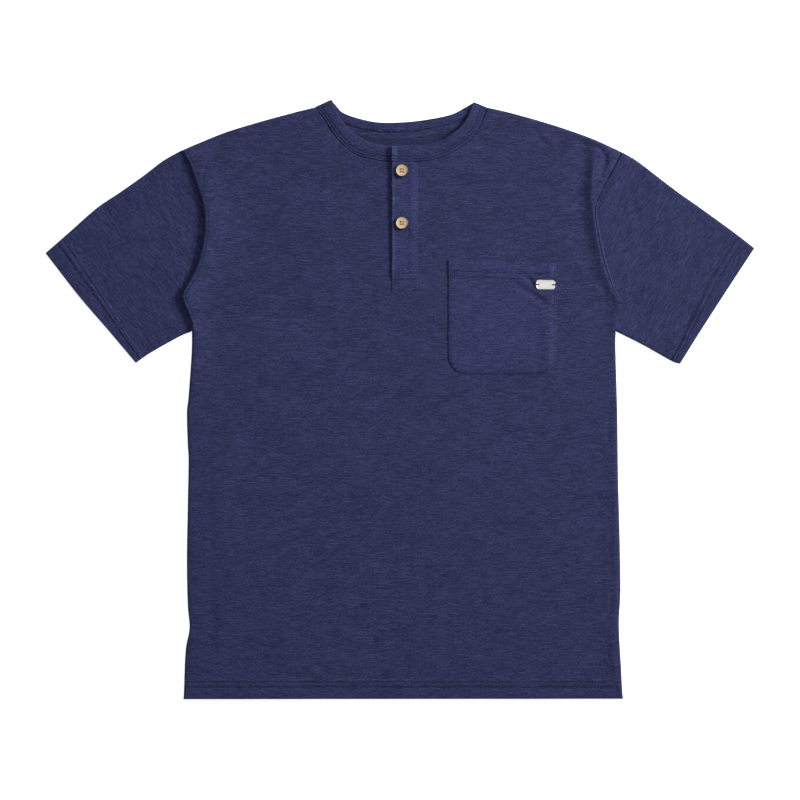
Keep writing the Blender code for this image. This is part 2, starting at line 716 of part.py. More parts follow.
def make_tag():
    """A stamped plate with clipped corners and a slot for thread near each end."""
    half_long, half_wide = TAG_LONG / 2, TAG_WIDE / 2
    bm = bmesh.new()
    corners = []
    for sx, sy in ((-1, -1), (1, -1), (1, 1), (-1, 1)):
        ends = [(sx * half_long, sy * (half_wide - TAG_CORNER)),
                (sx * (half_long - TAG_CORNER), sy * half_wide)]
        corners += ends if sx * sy > 0 else ends[::-1]
    ring = [bm.verts.new((x, y, 0.0)) for x, y in corners]
    face = bm.faces.new(ring)
    raised = bmesh.ops.extrude_face_region(bm, geom=[face])["geom"]
    top = [g for g in raised if isinstance(g, bmesh.types.BMVert)]
    bmesh.ops.translate(bm, verts=top, vec=(0, 0, TAG_THICK))
    bmesh.ops.recalc_face_normals(bm, faces=bm.faces)
    rim = [e for e in bm.edges if all(v.co.z > TAG_THICK / 2 for v in e.verts)]
    bmesh.ops.bevel(bm, geom=rim, offset=0.25, segments=2, affect="EDGES")
    seat = Vector((TAG_X, TAG_Y))
    place = (*seat, pocket_top(seat) + TAG_LIFT)
    tag = finish("label_tag", bm, STEEL, 0.3, 1.0, 15, place, TAG_TURN)
    cutter_bm = bmesh.new()
    for side in (-1, 1):
        made = bmesh.ops.create_cube(cutter_bm, size=1.0)
        bmesh.ops.scale(cutter_bm, verts=made["verts"],
                        vec=(TAG_SLOT_LONG, TAG_SLOT_WIDE, 4 * TAG_THICK))
        bmesh.ops.translate(cutter_bm, verts=made["verts"], vec=(side * TAG_SLOT_OUT, 0, 0))
    cutter = finish("label_tag_slots", cutter_bm, STEEL, 0.3, 1.0, 15, place, TAG_TURN)
    cutter.hide_render = True
    cutter.display_type = "WIRE"
    slots = tag.modifiers.new("slots", "BOOLEAN")
    slots.operation = "DIFFERENCE"
    slots.object = cutter


# ---------------------------------------------------------------- the garment
for old in list(bpy.data.objects):
    bpy.data.objects.remove(old, do_unlink=True)
garment = bpy.data.objects.new("henley", None)
garment.location = (0.0, -MIDDLE * MM, 0.0)
bpy.context.scene.collection.objects.link(garment)
make_front()
make_back()
for wearer_side in ("right", "left"):
    make_sleeve(wearer_side)
make_band()
make_placket()
make_pocket()
make_buttons()
make_tag()
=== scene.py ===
"""The looks of a short-sleeved henley t-shirt in slub jersey, laid flat and seen from above.

Tables are in millimetres on the laid garment: x from its middle, y above its hem, z above the
ground. Every cloth piece is a thin closed shell on its solid's form, with the garment's creases
laid over it. The wearer's left is at +X.
"""
import math

import bpy
import bmesh
import numpy as np
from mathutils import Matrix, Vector
from mathutils.geometry import delaunay_2d_cdt
from mathutils.kdtree import KDTree


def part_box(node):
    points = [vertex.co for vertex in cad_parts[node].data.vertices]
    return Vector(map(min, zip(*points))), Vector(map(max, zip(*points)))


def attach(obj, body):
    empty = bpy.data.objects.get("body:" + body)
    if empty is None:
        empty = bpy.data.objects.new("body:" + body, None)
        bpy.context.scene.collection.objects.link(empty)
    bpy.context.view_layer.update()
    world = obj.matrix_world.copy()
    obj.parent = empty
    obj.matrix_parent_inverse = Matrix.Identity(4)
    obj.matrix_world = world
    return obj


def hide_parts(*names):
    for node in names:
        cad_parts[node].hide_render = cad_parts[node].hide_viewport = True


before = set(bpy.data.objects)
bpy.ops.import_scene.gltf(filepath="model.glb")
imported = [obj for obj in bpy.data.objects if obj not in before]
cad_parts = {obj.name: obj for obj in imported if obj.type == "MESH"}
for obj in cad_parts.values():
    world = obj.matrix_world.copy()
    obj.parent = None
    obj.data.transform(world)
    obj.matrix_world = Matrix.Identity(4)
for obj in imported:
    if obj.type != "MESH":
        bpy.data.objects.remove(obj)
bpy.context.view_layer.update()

MM = 0.001
MIDDLE = 359.65           # half of the laid length
CLOTH = 0.9               # the jersey's wall as drawn
HEM_CLOTH = 1.5           # two layers, pressed
GAP = 0.3                 # between two pieces at a seam
LIE = 3.3                 # top of the front where it lies quietly on the back
HEM_DEPTH = 23.0          # from the folded edge to the raw edge inside
SEAM_LOW, SEAM_HIGH = 1.3, 1.6     # where the back and the front end at a folded edge
ROLL = 2.6                # how far in from a folded edge the cloth is level again
RIM_LOW = 1.9             # how far down the front's rim reaches along an armhole
RIM_ROLL = 3.4            # how far in the wearer's right rim is level again
ROLL_FROM = 596.0         # from here down the wearer's left armhole has rolled up
ROLL_BLEND = 6.0          # how far below that the front's edge starts to be kept up
KEPT_UP, KEPT_ROLL = 3.4, 1.3      # the height it is kept at, and how far in it is level
GRID = 4.2                # spacing of the points inside a panel
CLOSEST = 0.9             # points given besides the grid are thinned to this

# ---------------------------------------------------------------- the cut, in mm (x, y)
SHOULDER = {
    "right": [(-103, 711), (-131, 704), (-171, 693), (-207, 682), (-235, 671), (-263, 659)],
    "left": [(105, 711), (135, 704), (174, 693), (208, 682), (237, 671), (267, 657)],
}
ARMHOLE = {                # from the shoulder down to the side seam
    "right": [(-263, 659), (-254, 642), (-248, 626), (-242, 609), (-237.5, 593.5),
              (-235.8, 578), (-236.2, 562), (-238.5, 546), (-242.5, 529), (-248, 514),
              (-255, 501), (-263, 487), (-261, 476), (-256, 464), (-252, 453), (-250, 442)],
    "left": [(267, 657), (258.5, 640), (250, 625), (242, 609), (235, 592), (235, 575),
             (238, 558), (241, 541), (245, 526), (249, 513), (254, 498), (259, 486),
             (265, 477), (261, 466), (258.5, 456), (259, 442)],
}
SIDE = {                   # from the armhole down to the hem
    "right": [(-250, 442), (-250.3, 417), (-254, 364), (-256, 345), (-255, 306), (-254, 287),
              (-255, 230), (-256, 167), (-255, 114), (-252.8, 86), (-257.5, 59), (-259.5, 11),
              (-260, 0.5)],
    "left": [(259, 442), (259, 417), (261, 345), (262, 268), (264, 191), (264.8, 131),
             (263, 89), (265.6, 38), (267, 11), (268, 1)],
}
SLEEVE_FOLD = {            # the top fold, from the armhole out to the cuff
    "right": [(-263, 659), (-284, 647), (-309, 628), (-336, 609), (-364, 590), (-397, 561),
              (-425.5, 536)],
    "left": [(267, 657), (284, 647), (309, 628), (334, 609), (361, 590), (401, 561),
             (425.5, 542)],
}
UNDERARM = {               # from the armhole out to the cuff
    "right": [(-250, 442), (-264, 436), (-298, 417), (-317, 404)],
    "left": [(259, 442), (291, 426), (325, 407), (336, 403)],
}
CUFF = {                   # from the top fold down to the underarm
    "right": [(-425.5, 536), (-386, 485), (-352, 445.5), (-317, 404)],
    "left": [(425.5, 542), (394, 494), (363, 446), (336, 403)],
}
NECK_SEAM = [(-103, 711), (-91, 696), (-76, 674), (-55, 655), (-27, 647), (-10, 645.7),
             (8, 645.4), (38, 648), (68, 660), (90, 679), (101, 700), (105, 711)]
NECK_EDGE = [(-82.2, 720.4), (-75, 703), (-60, 684), (-37, 669.5), (-15, 665), (0, 665),
             (30, 666), (53, 674), (74, 689), (84, 706), (88, 717.5)]
BACK_SEAM = [(-103, 711), (-80, 693), (-55, 682), (-30, 676.5), (0, 675), (30, 678), (60, 685),
             (85, 696), (105, 711)]
BACK_EDGE = [(-82.2, 720.4), (-75, 709.5), (-60, 701), (-30, 693.5), (0, 693), (30, 696),
             (60, 702), (75, 709), (88, 717.5)]
SLOT_LEFT, SLOT_RIGHT, SLOT_FOOT = -8.0, 18.6, 508.0
PLACKET_LEFT, PLACKET_RIGHT, PLACKET_FOOT, PLACKET_TOP = -9.8, 21.2, 488.0, 645.4
PLACKET_THICK = 0.85      # pressed
PLACKET_LIFT = 1.4        # how far its free edge stands off at the neck
POCKET_LEFT, POCKET_RIGHT, POCKET_TOP, POCKET_FOOT = 58.2, 187.6, 528.5, 390.0
POCKET_SLANT, POCKET_CORNER, POCKET_THICK = -0.035, 25.0, 0.85
SEWN_DOWN = 0.08          # between a piece and the cloth it is sewn on
BAND_THICK, BAND_INSET = 1.6, 0.8  # folded, and how far it stays off the seams at a shoulder
BAND_FRONT, BAND_OVER = 3.5, 5.4   # its top on the front, and where its ends cross
SLEEVE_LIE = {             # top of a sleeve: at the armhole, in its middle and at the cuff
    "right": (2.1, 2.8, 3.5),
    "left": (4.2, 3.3, 3.5),
}

# ---------------------------------------------------------------- how the front lies, in mm
WAVES = [
    # rise, length, heading, start
    (0.20, 310.0, 12.0, 40.0),
    (0.15, 190.0, 64.0, 10.0),
    (0.10, 130.0, -38.0, 75.0),
]
# Folds and creases: the rise of the crest (a trough's is negative), the width on the wearer's
# right of the line and on the left of it, and the line, which runs down the shirt.
FOLDS = [
    # rise, width before, width after, line
    (2.4, 7, 22, [(230, 668), (231, 640), (230, 610), (233, 590), (236, 560), (243, 525),
                  (253, 498), (263, 478), (260, 442)]),
    (3.2, 9, 22, [(-266, 500), (-264, 475), (-256, 450), (-254, 420), (-258, 370)]),
    (1.2, 7, 16, [(205, 675), (236, 665), (254, 652), (252, 634), (244, 618)]),
    (4.7, 9, 26, [(-262, 650), (-246, 606), (-239, 570), (-243, 530), (-257, 498), (-264, 470)]),
    (0.7, 6, 8, [(-230, 648), (-237, 620), (-236, 606)]),
    (0.7, 14, 20, [(-214, 280), (-221, 220), (-210, 165)]),
    (0.8, 9, 8, [(257, 320), (258, 210), (257, 110), (260, 20)]),
]
CREASES = [
    # the tuck beside the wearer's left armhole, and what runs out from it
    (0.5, 2.5, 2.5, [(233, 660), (232, 640), (230, 610), (229, 588)]),
    (-1.3, 12, 6, [(223, 655), (220, 623), (216, 595), (220, 563), (226, 535)]),
    (-0.9, 6, 3, [(266, 656), (258, 640), (249, 624), (241, 608), (236, 598)]),
    (-0.6, 6, 5, [(206, 561), (222, 525), (240, 494)]),
    (-1.6, 3.2, 3.2, [(214, 667), (232, 664), (241, 660), (246, 652), (245, 640), (241, 628)]),
    (-0.3, 3, 3, [(243, 495), (246, 470), (247, 437)]),
    (-0.3, 2.5, 3, [(237, 480), (240, 455), (238, 432)]),
    # the wearer's right: the thin crease inside the rim, and where the raised band ends
    (-0.7, 2.5, 2.5, [(-231, 652), (-237, 624), (-238, 606)]),
    (0.35, 22, 4, [(-211, 630), (-210, 570), (-211, 520), (-218, 470), (-232, 420)]),
    # the shoulders, beside the band and along their folds
    (-0.5, 3, 3, [(137, 689), (149, 686), (157, 687), (171, 672), (180, 664)]),
    (0.5, 4, 4, [(168, 680), (176, 674), (186, 672)]),
    (-0.45, 3, 3, [(198, 676), (217, 669), (230, 664)]),
    (-0.4, 2.5, 2.5, [(-121, 698), (-110, 697), (-101, 690)]),
    (-0.4, 2.5, 2.5, [(-108, 703), (-99, 697), (-93, 688)]),
    (0.3, 5, 5, [(-185, 692), (-165, 689), (-140, 694)]),
    # the wearer's left side, where the side seam turns to the front
    (-0.6, 3, 3, [(251, 344), (250, 322), (251, 300)]),
    (-0.35, 2.5, 3, [(253, 228), (252, 180), (254, 132)]),
    (-0.8, 2.5, 3, [(253, 127), (252, 112), (247, 97)]),
    (0.45, 3, 2.5, [(253, 82), (256, 48), (259, 20)]),
    (-0.5, 2, 2, [(259.5, 25), (259.5, 12), (260, 1)]),
    (0.3, 3, 3, [(246, 96), (238, 88), (229, 80)]),
    # the wearer's right side: puckers at the edge, and the soft folds low down
    (-0.5, 3, 3, [(-257, 386), (-250, 384), (-242, 386)]),
    (-0.6, 4, 4, [(-258, 352), (-250, 349), (-240, 352)]),
    (-0.5, 4, 4, [(-256, 88), (-250, 85), (-243, 88)]),
    (-0.4, 4, 5, [(-226, 276), (-228, 230), (-225, 178)]),
    (-0.3, 3, 3, [(-201, 240), (-207, 205), (-198, 172)]),
    (-0.25, 3, 3, [(-190, 272), (-196, 250), (-192, 232)]),
    (-0.65, 16, 4, [(-226, 122), (-225, 85), (-227, 48)]),
    # marks of the way it was folded away
    (0.25, 5, 6, [(142, 134), (143, 70), (142, 2)]),
    (0.22, 6, 6, [(-62, 374), (0, 372), (60, 369), (120, 366), (190, 371)]),
    (0.14, 4, 4, [(-176, 299), (-120, 308), (-64, 321)]),
    (-0.16, 5, 5, [(-100, 214), (-84, 190), (-70, 172)]),
    (-0.2, 5, 6, [(40, 360), (75, 352), (112, 356)]),
]
POCKET_CREASES = [
    (-1.3, 4, 3.2, [(138, 497), (150, 491), (160, 486), (171, 478), (183, 470)]),
    (0.5, 4, 4, [(150, 500), (163, 492), (176, 484)]),
    (-1.3, 3.0, 3.0, [(150, 508), (157, 502), (162, 496)]),
    (-0.3, 1.2, 1.2, [(78, 404), (76, 397), (75, 392)]),
    (-0.3, 1.2, 1.2, [(162, 404), (163, 397), (163, 391)]),
]
SLEEVE_CREASES = {
    "right": [
        (-0.35, 3, 3, [(-298, 628), (-303, 616), (-309, 604)]),
        (-0.3, 4, 4, [(-288, 560), (-296, 520), (-300, 480)]),
        (0.25, 7, 7, [(-330, 590), (-322, 560), (-325, 520)]),
        (-0.25, 5, 5, [(-380, 545), (-366, 530), (-350, 500)]),
    ],
    "left": [
        (1.4, 3, 13, [(272, 652), (260, 629), (245, 600), (238, 586)]),
        (-0.55, 4, 4, [(267, 642), (276, 612), (285, 576), (290, 544)]),
        (-0.3, 3, 3, [(262, 632), (266, 600), (262, 566)]),
        (0.3, 6, 6, [(300, 610), (306, 575), (312, 540)]),
        (-0.3, 5, 5, [(330, 480), (345, 468), (356, 446)]),
        (-0.3, 5, 5, [(392, 560), (388, 540), (372, 512)]),
    ],
}
BACK_CREASES = [
    (0.5, 7, 9, [(-150, 600), (-120, 520), (-130, 430)]),
    (0.4, 9, 7, [(160, 620), (140, 560), (150, 500)]),
    (0.45, 8, 8, [(90, 300), (60, 220), (75, 120)]),
    (0.35, 6, 8, [(-90, 260), (-60, 190), (-70, 110)]),
]


# ---------------------------------------------------------------- lines
def smooth(points, step):
    """Points along a smooth curve through the given ones, about one step apart."""
    knots = np.array(points, float)
    ends = np.vstack([2 * knots[0] - knots[1], knots, 2 * knots[-1] - knots[-2]])
    line = [knots[0]]
    for a, b, c, d in zip(ends, ends[1:], ends[2:], ends[3:]):
        count = max(1, round(np.hypot(*(c - b)) / step))
        for k in range(1, count + 1):
            t = k / count
            line.append(0.5 * (2 * b + (c - a) * t + (2 * a - 5 * b + 4 * c - d) * t ** 2
                               + (3 * b - a - 3 * c + d) * t ** 3))
    return np.array(line)


def lengths(line):
    return np.concatenate([[0.0], np.cumsum(np.linalg.norm(np.diff(line, axis=0), axis=1))])


def at_lengths(line, targets):
    """Points on a line at the given distances along it."""
    run = lengths(line)
    return np.stack([np.interp(targets, run, line[:, k]) for k in range(line.shape[1])], axis=1)


def evenly(line, step=None, count=None):
    """The same line as points at equal distances."""
    total = lengths(line)[-1]
    count = count or max(2, round(total / step) + 1)
    return at_lengths(line, np.linspace(0, total, count))


def straight(a, b, step):
    return evenly(np.array([a, b], float), step)


def up_to(line, x):
    """The part of a dense line from its start to where it reaches x."""
    for k in range(len(line) - 1):
        a, b = line[k], line[k + 1]
        if (a[0] - x) * (b[0] - x) <= 0 and a[0] != b[0]:
            return np.vstack([line[:k + 1], a + (b - a) * (x - a[0]) / (b[0] - a[0])])
    return line


def normals(line, closed=False):
    """At each point of a line, the way to its left, mitred so that 1 mm moves each side 1 mm."""
    if closed:
        before = line - np.roll(line, 1, axis=0)
        after = np.roll(line, -1, axis=0) - line
    else:
        steps = np.diff(line, axis=0)
        before = np.vstack([steps[:1], steps])
        after = np.vstack([steps, steps[-1:]])
    n = []
    for v in (before, after):
        v = v / np.maximum(1e-9, np.linalg.norm(v, axis=1))[:, None]
        n.append(np.stack([-v[:, 1], v[:, 0]], axis=1))
    dot = (n[0] * n[1]).sum(axis=1)
    return (n[0] + n[1]) / np.maximum(0.5, 1.0 + dot)[:, None]


def across(xy, line, reach=1e9):
    """Signed distance of points from a line (plus is its left side) and the share along it."""
    line = np.asarray(line, float)
    best = np.full(len(xy), 1e9)
    share = np.zeros(len(xy))
    low, high = line.min(axis=0) - reach, line.max(axis=0) + reach
    near = np.flatnonzero(((xy > low) & (xy < high)).all(axis=1))
    p = xy[near]
    found, side, along = np.full(len(p), 1e9), np.ones(len(p)), np.zeros(len(p))
    for k in range(len(line) - 1):
        run = line[k + 1] - line[k]
        t = np.clip(((p - line[k]) @ run) / (run @ run), 0, 1)
        off = p - line[k] - t[:, None] * run
        d = np.hypot(off[:, 0], off[:, 1])
        closer = d < found
        found[closer] = d[closer]
        along[closer] = (k + t[closer]) / (len(line) - 1)
        side[closer] = np.where(run[0] * off[closer, 1] - run[1] * off[closer, 0] >= 0, 1, -1)
    best[near] = found * side
    share[near] = along
    return best, share


def inside(xy, ring):
    odd = np.zeros(len(xy), bool)
    for a, b in zip(ring, np.roll(ring, -1, axis=0)):
        if a[1] == b[1]:
            continue
        spans = (a[1] > xy[:, 1]) != (b[1] > xy[:, 1])
        odd ^= spans & (xy[:, 0] < a[0] + (xy[:, 1] - a[1]) * (b[0] - a[0]) / (b[1] - a[1]))
    return odd


# ---------------------------------------------------------------- heights
def eased(x):
    x = np.clip(x, 0, 1)
    return x * x * (3 - 2 * x)


def crease_rise(xy, creases):
    """Height that folds and creases add. Each runs out towards both its ends."""
    total = np.zeros(len(xy))
    for rise, before, after, line in creases:
        line = np.array(line, float)
        if len(line) > 2:
            line = smooth(line, 6.0)
        d, share = across(xy, line, 3 * max(before, after))
        width = np.where(d > 0, after, before)
        near = np.abs(d) < 3 * width
        total[near] += rise * np.exp(-(d[near] / width[near]) ** 2) * np.sin(
            np.pi * (0.12 + 0.76 * share[near])) ** 0.7
    return total


def wave_rise(xy):
    total = np.zeros(len(xy))
    for rise, length, heading, start in WAVES:
        h = math.radians(heading)
        total += rise * np.sin(math.tau * (xy[:, 0] * math.cos(h) + xy[:, 1] * math.sin(h)
                                           - start) / length)
    return total


RIPPLES = np.random.default_rng(7).uniform(size=(26, 4))


def ripple(xy, scale=1.0):
    """The small unevenness of cloth that has been smoothed out by hand."""
    total = np.zeros(len(xy))
    for a, b, c, d in RIPPLES:
        length = 16.0 + 70.0 * a ** 1.6
        h = math.tau * b
        total += 0.0011 * length * (0.4 + d) * np.sin(
            math.tau * ((xy[:, 0] * math.cos(h) + xy[:, 1] * math.sin(h)) / length + c))
    return scale * total


def groove(d, depth=0.30, width=0.8):
    """A line of stitches pulls the cloth in along it."""
    return -depth * np.exp(-(d / width) ** 2)


NEEDLES = (15.4, 21.4)     # the twin-needle lines of a hem, above its edge


def hem_rise(up):
    """Height that a turned hem adds, a distance up from its edge: two layers, sewn twice."""
    height = 0.55 * (1 - eased((up - HEM_DEPTH + 0.6) / 2.2))
    for needle in NEEDLES:
        height = height + groove(up - needle, 0.45)
    return height + 0.20 * np.exp(-((up - sum(NEEDLES) / 2) / 1.6) ** 2)


def pucker(along, from_seam, rise, length, reach, seed=0.0):
    """The short waves that a seam draws up beside it."""
    wave = (np.sin(math.tau * along / length + seed)
            + 0.6 * np.sin(math.tau * along / (1.63 * length) + 2.1 * seed + 1.0))
    patchy = 0.5 + 0.5 * np.sin(math.tau * along / (9.1 * length) + 3.7 * seed)
    return rise * wave * patchy * np.exp(-(from_seam / reach) ** 2)


EDGE_LINES = {}            # filled below: seams along which the front puckers


def front_top(xy):
    """Height of the front's outer face."""
    z = LIE + wave_rise(xy) + crease_rise(xy, FOLDS) + crease_rise(xy, CREASES) + ripple(xy)
    z += hem_rise(xy[:, 1])
    for (rise, length, reach, seed), line in EDGE_LINES.items():
        line = np.array(line)
        d, share = across(xy, line, 3 * reach)
        z += pucker(share * lengths(line)[-1], np.minimum(np.abs(d), 1e3), rise, length, reach,
                    seed)
    return z


def back_lift(xy):
    """How far the back stands off the ground in its shallow creases."""
    return np.clip(crease_rise(xy, BACK_CREASES), 0, 0.8)


# ---------------------------------------------------------------- meshes
def make_piece(name, verts, faces, material, smooth_angle=50):
    """Makes the object at the origin, in metres, and lets it ride on the one body."""
    mesh = bpy.data.meshes.new(name)
    verts = np.asarray(verts, float) * MM
    verts[:, 1] -= MIDDLE * MM
    mesh.from_pydata(verts.tolist(), [], faces)
    mesh.validate()
    mesh.shade_smooth()
    mesh.set_sharp_from_angle(angle=math.radians(smooth_angle))
    obj = bpy.data.objects.new(name, mesh)
    obj.data.materials.append(material)
    bpy.context.scene.collection.objects.link(obj)
    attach(obj, "root")
    return obj


def rows_beside(line, offsets, step):
    """Points in rows beside a line, so that the triangles follow it."""
    path = evenly(np.asarray(line, float), step)
    side = normals(path)
    return np.vstack([path + side * off for off in offsets])


def thin_out(points, apart):
    """Drops points that lie too near an earlier one."""
    kept, cells = [], {}
    for p in points:
        cell = (int(p[0] // apart), int(p[1] // apart))
        close = (q for i in (-1, 0, 1) for j in (-1, 0, 1)
                 for q in cells.get((cell[0] + i, cell[1] + j), ()))
        if all((p[0] - q[0]) ** 2 + (p[1] - q[1]) ** 2 > apart ** 2 for q in close):
            cells.setdefault(cell, []).append(p)
            kept.append(p)
    return np.array(kept)


def fill(ring, spacing, extra):
    """Fills a ring with even triangles: the points inside it, and the triangles."""
    if len(extra):
        extra = extra[inside(extra, ring)]
    if len(extra):
        off = np.abs(across(extra, np.vstack([ring, ring[:1]]))[0])
        extra = thin_out(extra[off > CLOSEST], CLOSEST)
    (x0, y0), (x1, y1) = ring.min(axis=0), ring.max(axis=0)
    row_step = spacing * math.sqrt(3) / 2
    grid = []
    for row in range(int((y1 - y0) / row_step) + 1):
        xs = x0 + (np.arange(int((x1 - x0) / spacing) + 1) + 0.5 * (row % 2)) * spacing
        grid.append(np.stack([xs, np.full(len(xs), y0 + (row + 0.5) * row_step)], axis=1))
    grid = np.vstack(grid)
    grid = grid[inside(grid, ring)]
    off = np.abs(across(grid, np.vstack([ring, ring[:1]]))[0])
    grid = grid[off > 0.5 * spacing]
    if len(extra):
        tree = KDTree(len(extra))
        for i, p in enumerate(extra):
            tree.insert((p[0], p[1], 0), i)
        tree.balance()
        grid = grid[[tree.find((p[0], p[1], 0))[2] > 0.6 * spacing for p in grid]]
        points = np.vstack([ring, extra, grid])
    else:
        points = np.vstack([ring, grid])
    n = len(ring)
    made = delaunay_2d_cdt([Vector(p) for p in points], [(i, (i + 1) % n) for i in range(n)],
                           [list(range(n))], 1, 1e-6)
    points = np.array([tuple(p) for p in made[0]])
    a, b, c = points[list(made[2][0])]
    turned = (b[0] - a[0]) * (c[1] - a[1]) < (b[1] - a[1]) * (c[0] - a[0])
    return points, [t[::-1] for t in made[2]] if turned else made[2]


def panel(name, outline, profile, top, bottom, material, spacing=GRID, extra=()):
    """A piece of cloth: an outline, its two faces, and the section of its edge.

    profile(points) gives, for every point of the outline, rows of (distance in from the
    outline, height), from the upper face round to the lower one.
    """
    outline = np.asarray(outline, float)
    steps = normals(outline, closed=True)
    sections = profile(outline)                   # rows x points x 2
    rings = [np.column_stack([outline + steps * row[:, :1], row[:, 1]]) for row in sections]
    n = len(outline)
    faces = []
    for r in range(len(rings) - 1):
        a = r * n
        faces += [(a + i, a + n + i, a + n + (i + 1) % n, a + (i + 1) % n) for i in range(n)]
    verts = list(rings)
    used = n * len(rings)
    extra = np.asarray(extra, float).reshape(-1, 2)
    for r, height, up in ((0, top, True), (len(rings) - 1, bottom, False)):
        points, triangles = fill(rings[r][:, :2], spacing, extra)
        own = points[n:]
        verts.append(np.column_stack([own, height(own)]))
        where = np.concatenate([np.arange(n) + r * n, np.arange(len(own)) + used])
        used += len(own)
        for t in triangles:
            corners = [int(where[i]) for i in t]
            faces.append(tuple(corners if up else corners[::-1]))
    return make_piece(name, np.vstack(verts), faces, material)


QUARTER_TURN = [math.radians(a) for a in (0, 30, 60, 90)]


def rolled(end, top, bottom, reach=ROLL):
    """Rows of an edge that curves from its faces to end at a seam, as a folded cloth does."""
    outer = [(reach * (1 - math.sin(a)), end + (top - end) * math.cos(a)) for a in QUARTER_TURN]
    inner = [(CLOTH + (reach - CLOTH) * (1 - math.sin(a)), end + (bottom - end) * math.cos(a))
             for a in QUARTER_TURN]
    return outer + inner[::-1]


def cut(top, bottom, reach=ROLL, soft=0.4):
    """Rows of the edge of a folded hem or a strip: a small round on both sides."""
    return [(reach, top), (soft, top), (0.3 * soft, top - 0.3 * soft), (0.0, top - soft),
            (0.0, bottom + soft), (0.3 * soft, bottom + 0.3 * soft), (soft, bottom),
            (reach, bottom)]


def stacked(rows, count):
    """Rows of numbers or arrays as an array of rows x points x 2."""
    return np.array([np.column_stack([np.broadcast_to(d, count), np.broadcast_to(z, count)])
                     for d, z in rows])


# ---------------------------------------------------------------- materials
def linear(code):
    """An sRGB hex colour as linear red, green, blue and alpha."""
    values = [int(code[i:i + 2], 16) / 255 for i in (1, 3, 5)]
    return [v / 12.92 if v <= 0.04045 else ((v + 0.055) / 1.055) ** 2.4 for v in values] + [1.0]


def add(tree, kind, settings=None, links=None):
    """Adds a node. settings are its properties and socket values, links its inputs' sources."""
    node = tree.nodes.new(kind)
    for key, value in (settings or {}).items():
        if isinstance(key, str) and hasattr(node, key):
            setattr(node, key, value)
        else:
            node.inputs[key].default_value = value
    for key, source in (links or {}).items():
        tree.links.new(source, node.inputs[key])
    return node


def new_material(name, settings):
    material = bpy.data.materials.new(name)
    material.use_nodes = True
    tree = material.node_tree
    shader = tree.nodes["Principled BSDF"]
    for key, value in settings.items():
        shader.inputs[key].default_value = value
    return material, tree, shader


# the dye on a thin place, on the plain yarn, on a loose loop and on a slub
NAVY_DYE = ("#191D40", "#262A50", "#333A64", "#3F4674")


def slub_jersey(name, heading, light=1.0):
    """Single jersey knitted from slub cotton yarn, piece-dyed navy: matt, with short pale
    streaks along the courses where the yarn is thick, and a faint fuzz that lights the edges.
    heading is the way its courses run, in degrees, and light scales the dye's lightness."""
    material, tree, shader = new_material(name, {
        "Roughness": 0.85, "IOR": 1.5, "Specular IOR Level": 0.25, "Sheen Weight": 0.12,
        "Sheen Roughness": 0.45, "Sheen Tint": linear("#8F97C8")})
    place = add(tree, "ShaderNodeTexCoord").outputs["Object"]
    along = add(tree, "ShaderNodeMapping", {"Rotation": (0, 0, math.radians(-heading))},
                {"Vector": place}).outputs[0]

    def streaks(long, wide, detail, seed):
        """Noise whose blotches are about long x wide millimetres."""
        scaled = add(tree, "ShaderNodeMapping", {
            "Scale": (1000 / long, 1000 / wide, 250.0), "Location": (seed, 2 * seed, 0)},
            {"Vector": along}).outputs[0]
        return add(tree, "ShaderNodeTexNoise", {"Scale": 1.0, "Detail": detail,
                                                "Roughness": 0.55},
                   {"Vector": scaled}).outputs["Fac"]

    thin, plain, loose, slub = ([light * v for v in linear(code)[:3]] + [1.0]
                                for code in NAVY_DYE)

    def sum_of(a, share_a, b, share_b):
        part = add(tree, "ShaderNodeMath", {"operation": "MULTIPLY", 1: share_a}, {0: a})
        return add(tree, "ShaderNodeMath", {"operation": "MULTIPLY_ADD", 1: share_b},
                   {0: b, 2: part.outputs[0]}).outputs[0]

    loops = streaks(2.6, 1.5, 0.0, 3.1)           # a few loops together, one or two wales wide
    yarn = streaks(13.5, 1.45, 1.0, 8.7)          # thick and thin places in the yarn
    slubs = streaks(13.0, 1.5, 1.0, 15.2)         # the slubs, 5 to 20 mm long
    clouds = streaks(34.0, 16.0, 2.0, 21.9)       # uneven dyeing
    fuzz = streaks(1.3, 1.3, 0.0, 30.3)           # loose ends of the fibres
    tone = sum_of(sum_of(loops, 0.32, yarn, 0.42), 1.0, sum_of(clouds, 0.16, fuzz, 0.16), 1.0)
    dye = add(tree, "ShaderNodeValToRGB", None, {"Fac": tone})
    ramp = dye.color_ramp
    ramp.elements[0].position, ramp.elements[1].position = 0.36, 0.64
    ramp.elements[0].color, ramp.elements[1].color = thin, loose
    ramp.elements.new(0.5).color = plain
    share = add(tree, "ShaderNodeMapRange", {"From Min": 0.62, "From Max": 0.80},
                {"Value": slubs}).outputs[0]
    base = add(tree, "ShaderNodeMix", {"data_type": "RGBA", 7: slub},
               {0: share, 6: dye.outputs["Color"]}).outputs[2]
    tree.links.new(base, shader.inputs["Base Color"])
    # the wales as faint ribs, and the yarn's own relief. The ribs come out 5.7 mm apart, where
    # 0.9 mm was meant: this texture repeats every 2 pi / 20 units and was taken to do so every
    # 1 / 20. A scale 2 pi times as large puts it right
    wales = add(tree, "ShaderNodeTexWave", {"wave_type": "BANDS", "bands_direction": "X",
                                            "Scale": 1000 / 0.9 / 20, "Distortion": 1.0,
                                            "Detail": 1.0}, {"Vector": along}).outputs["Fac"]
    relief = sum_of(wales, 0.12, tone, 1.6)
    bump = add(tree, "ShaderNodeBump", {"Strength": 0.5, "Distance": 0.0003},
               {"Height": relief}).outputs[0]
    tree.links.new(bump, shader.inputs["Normal"])
    return material


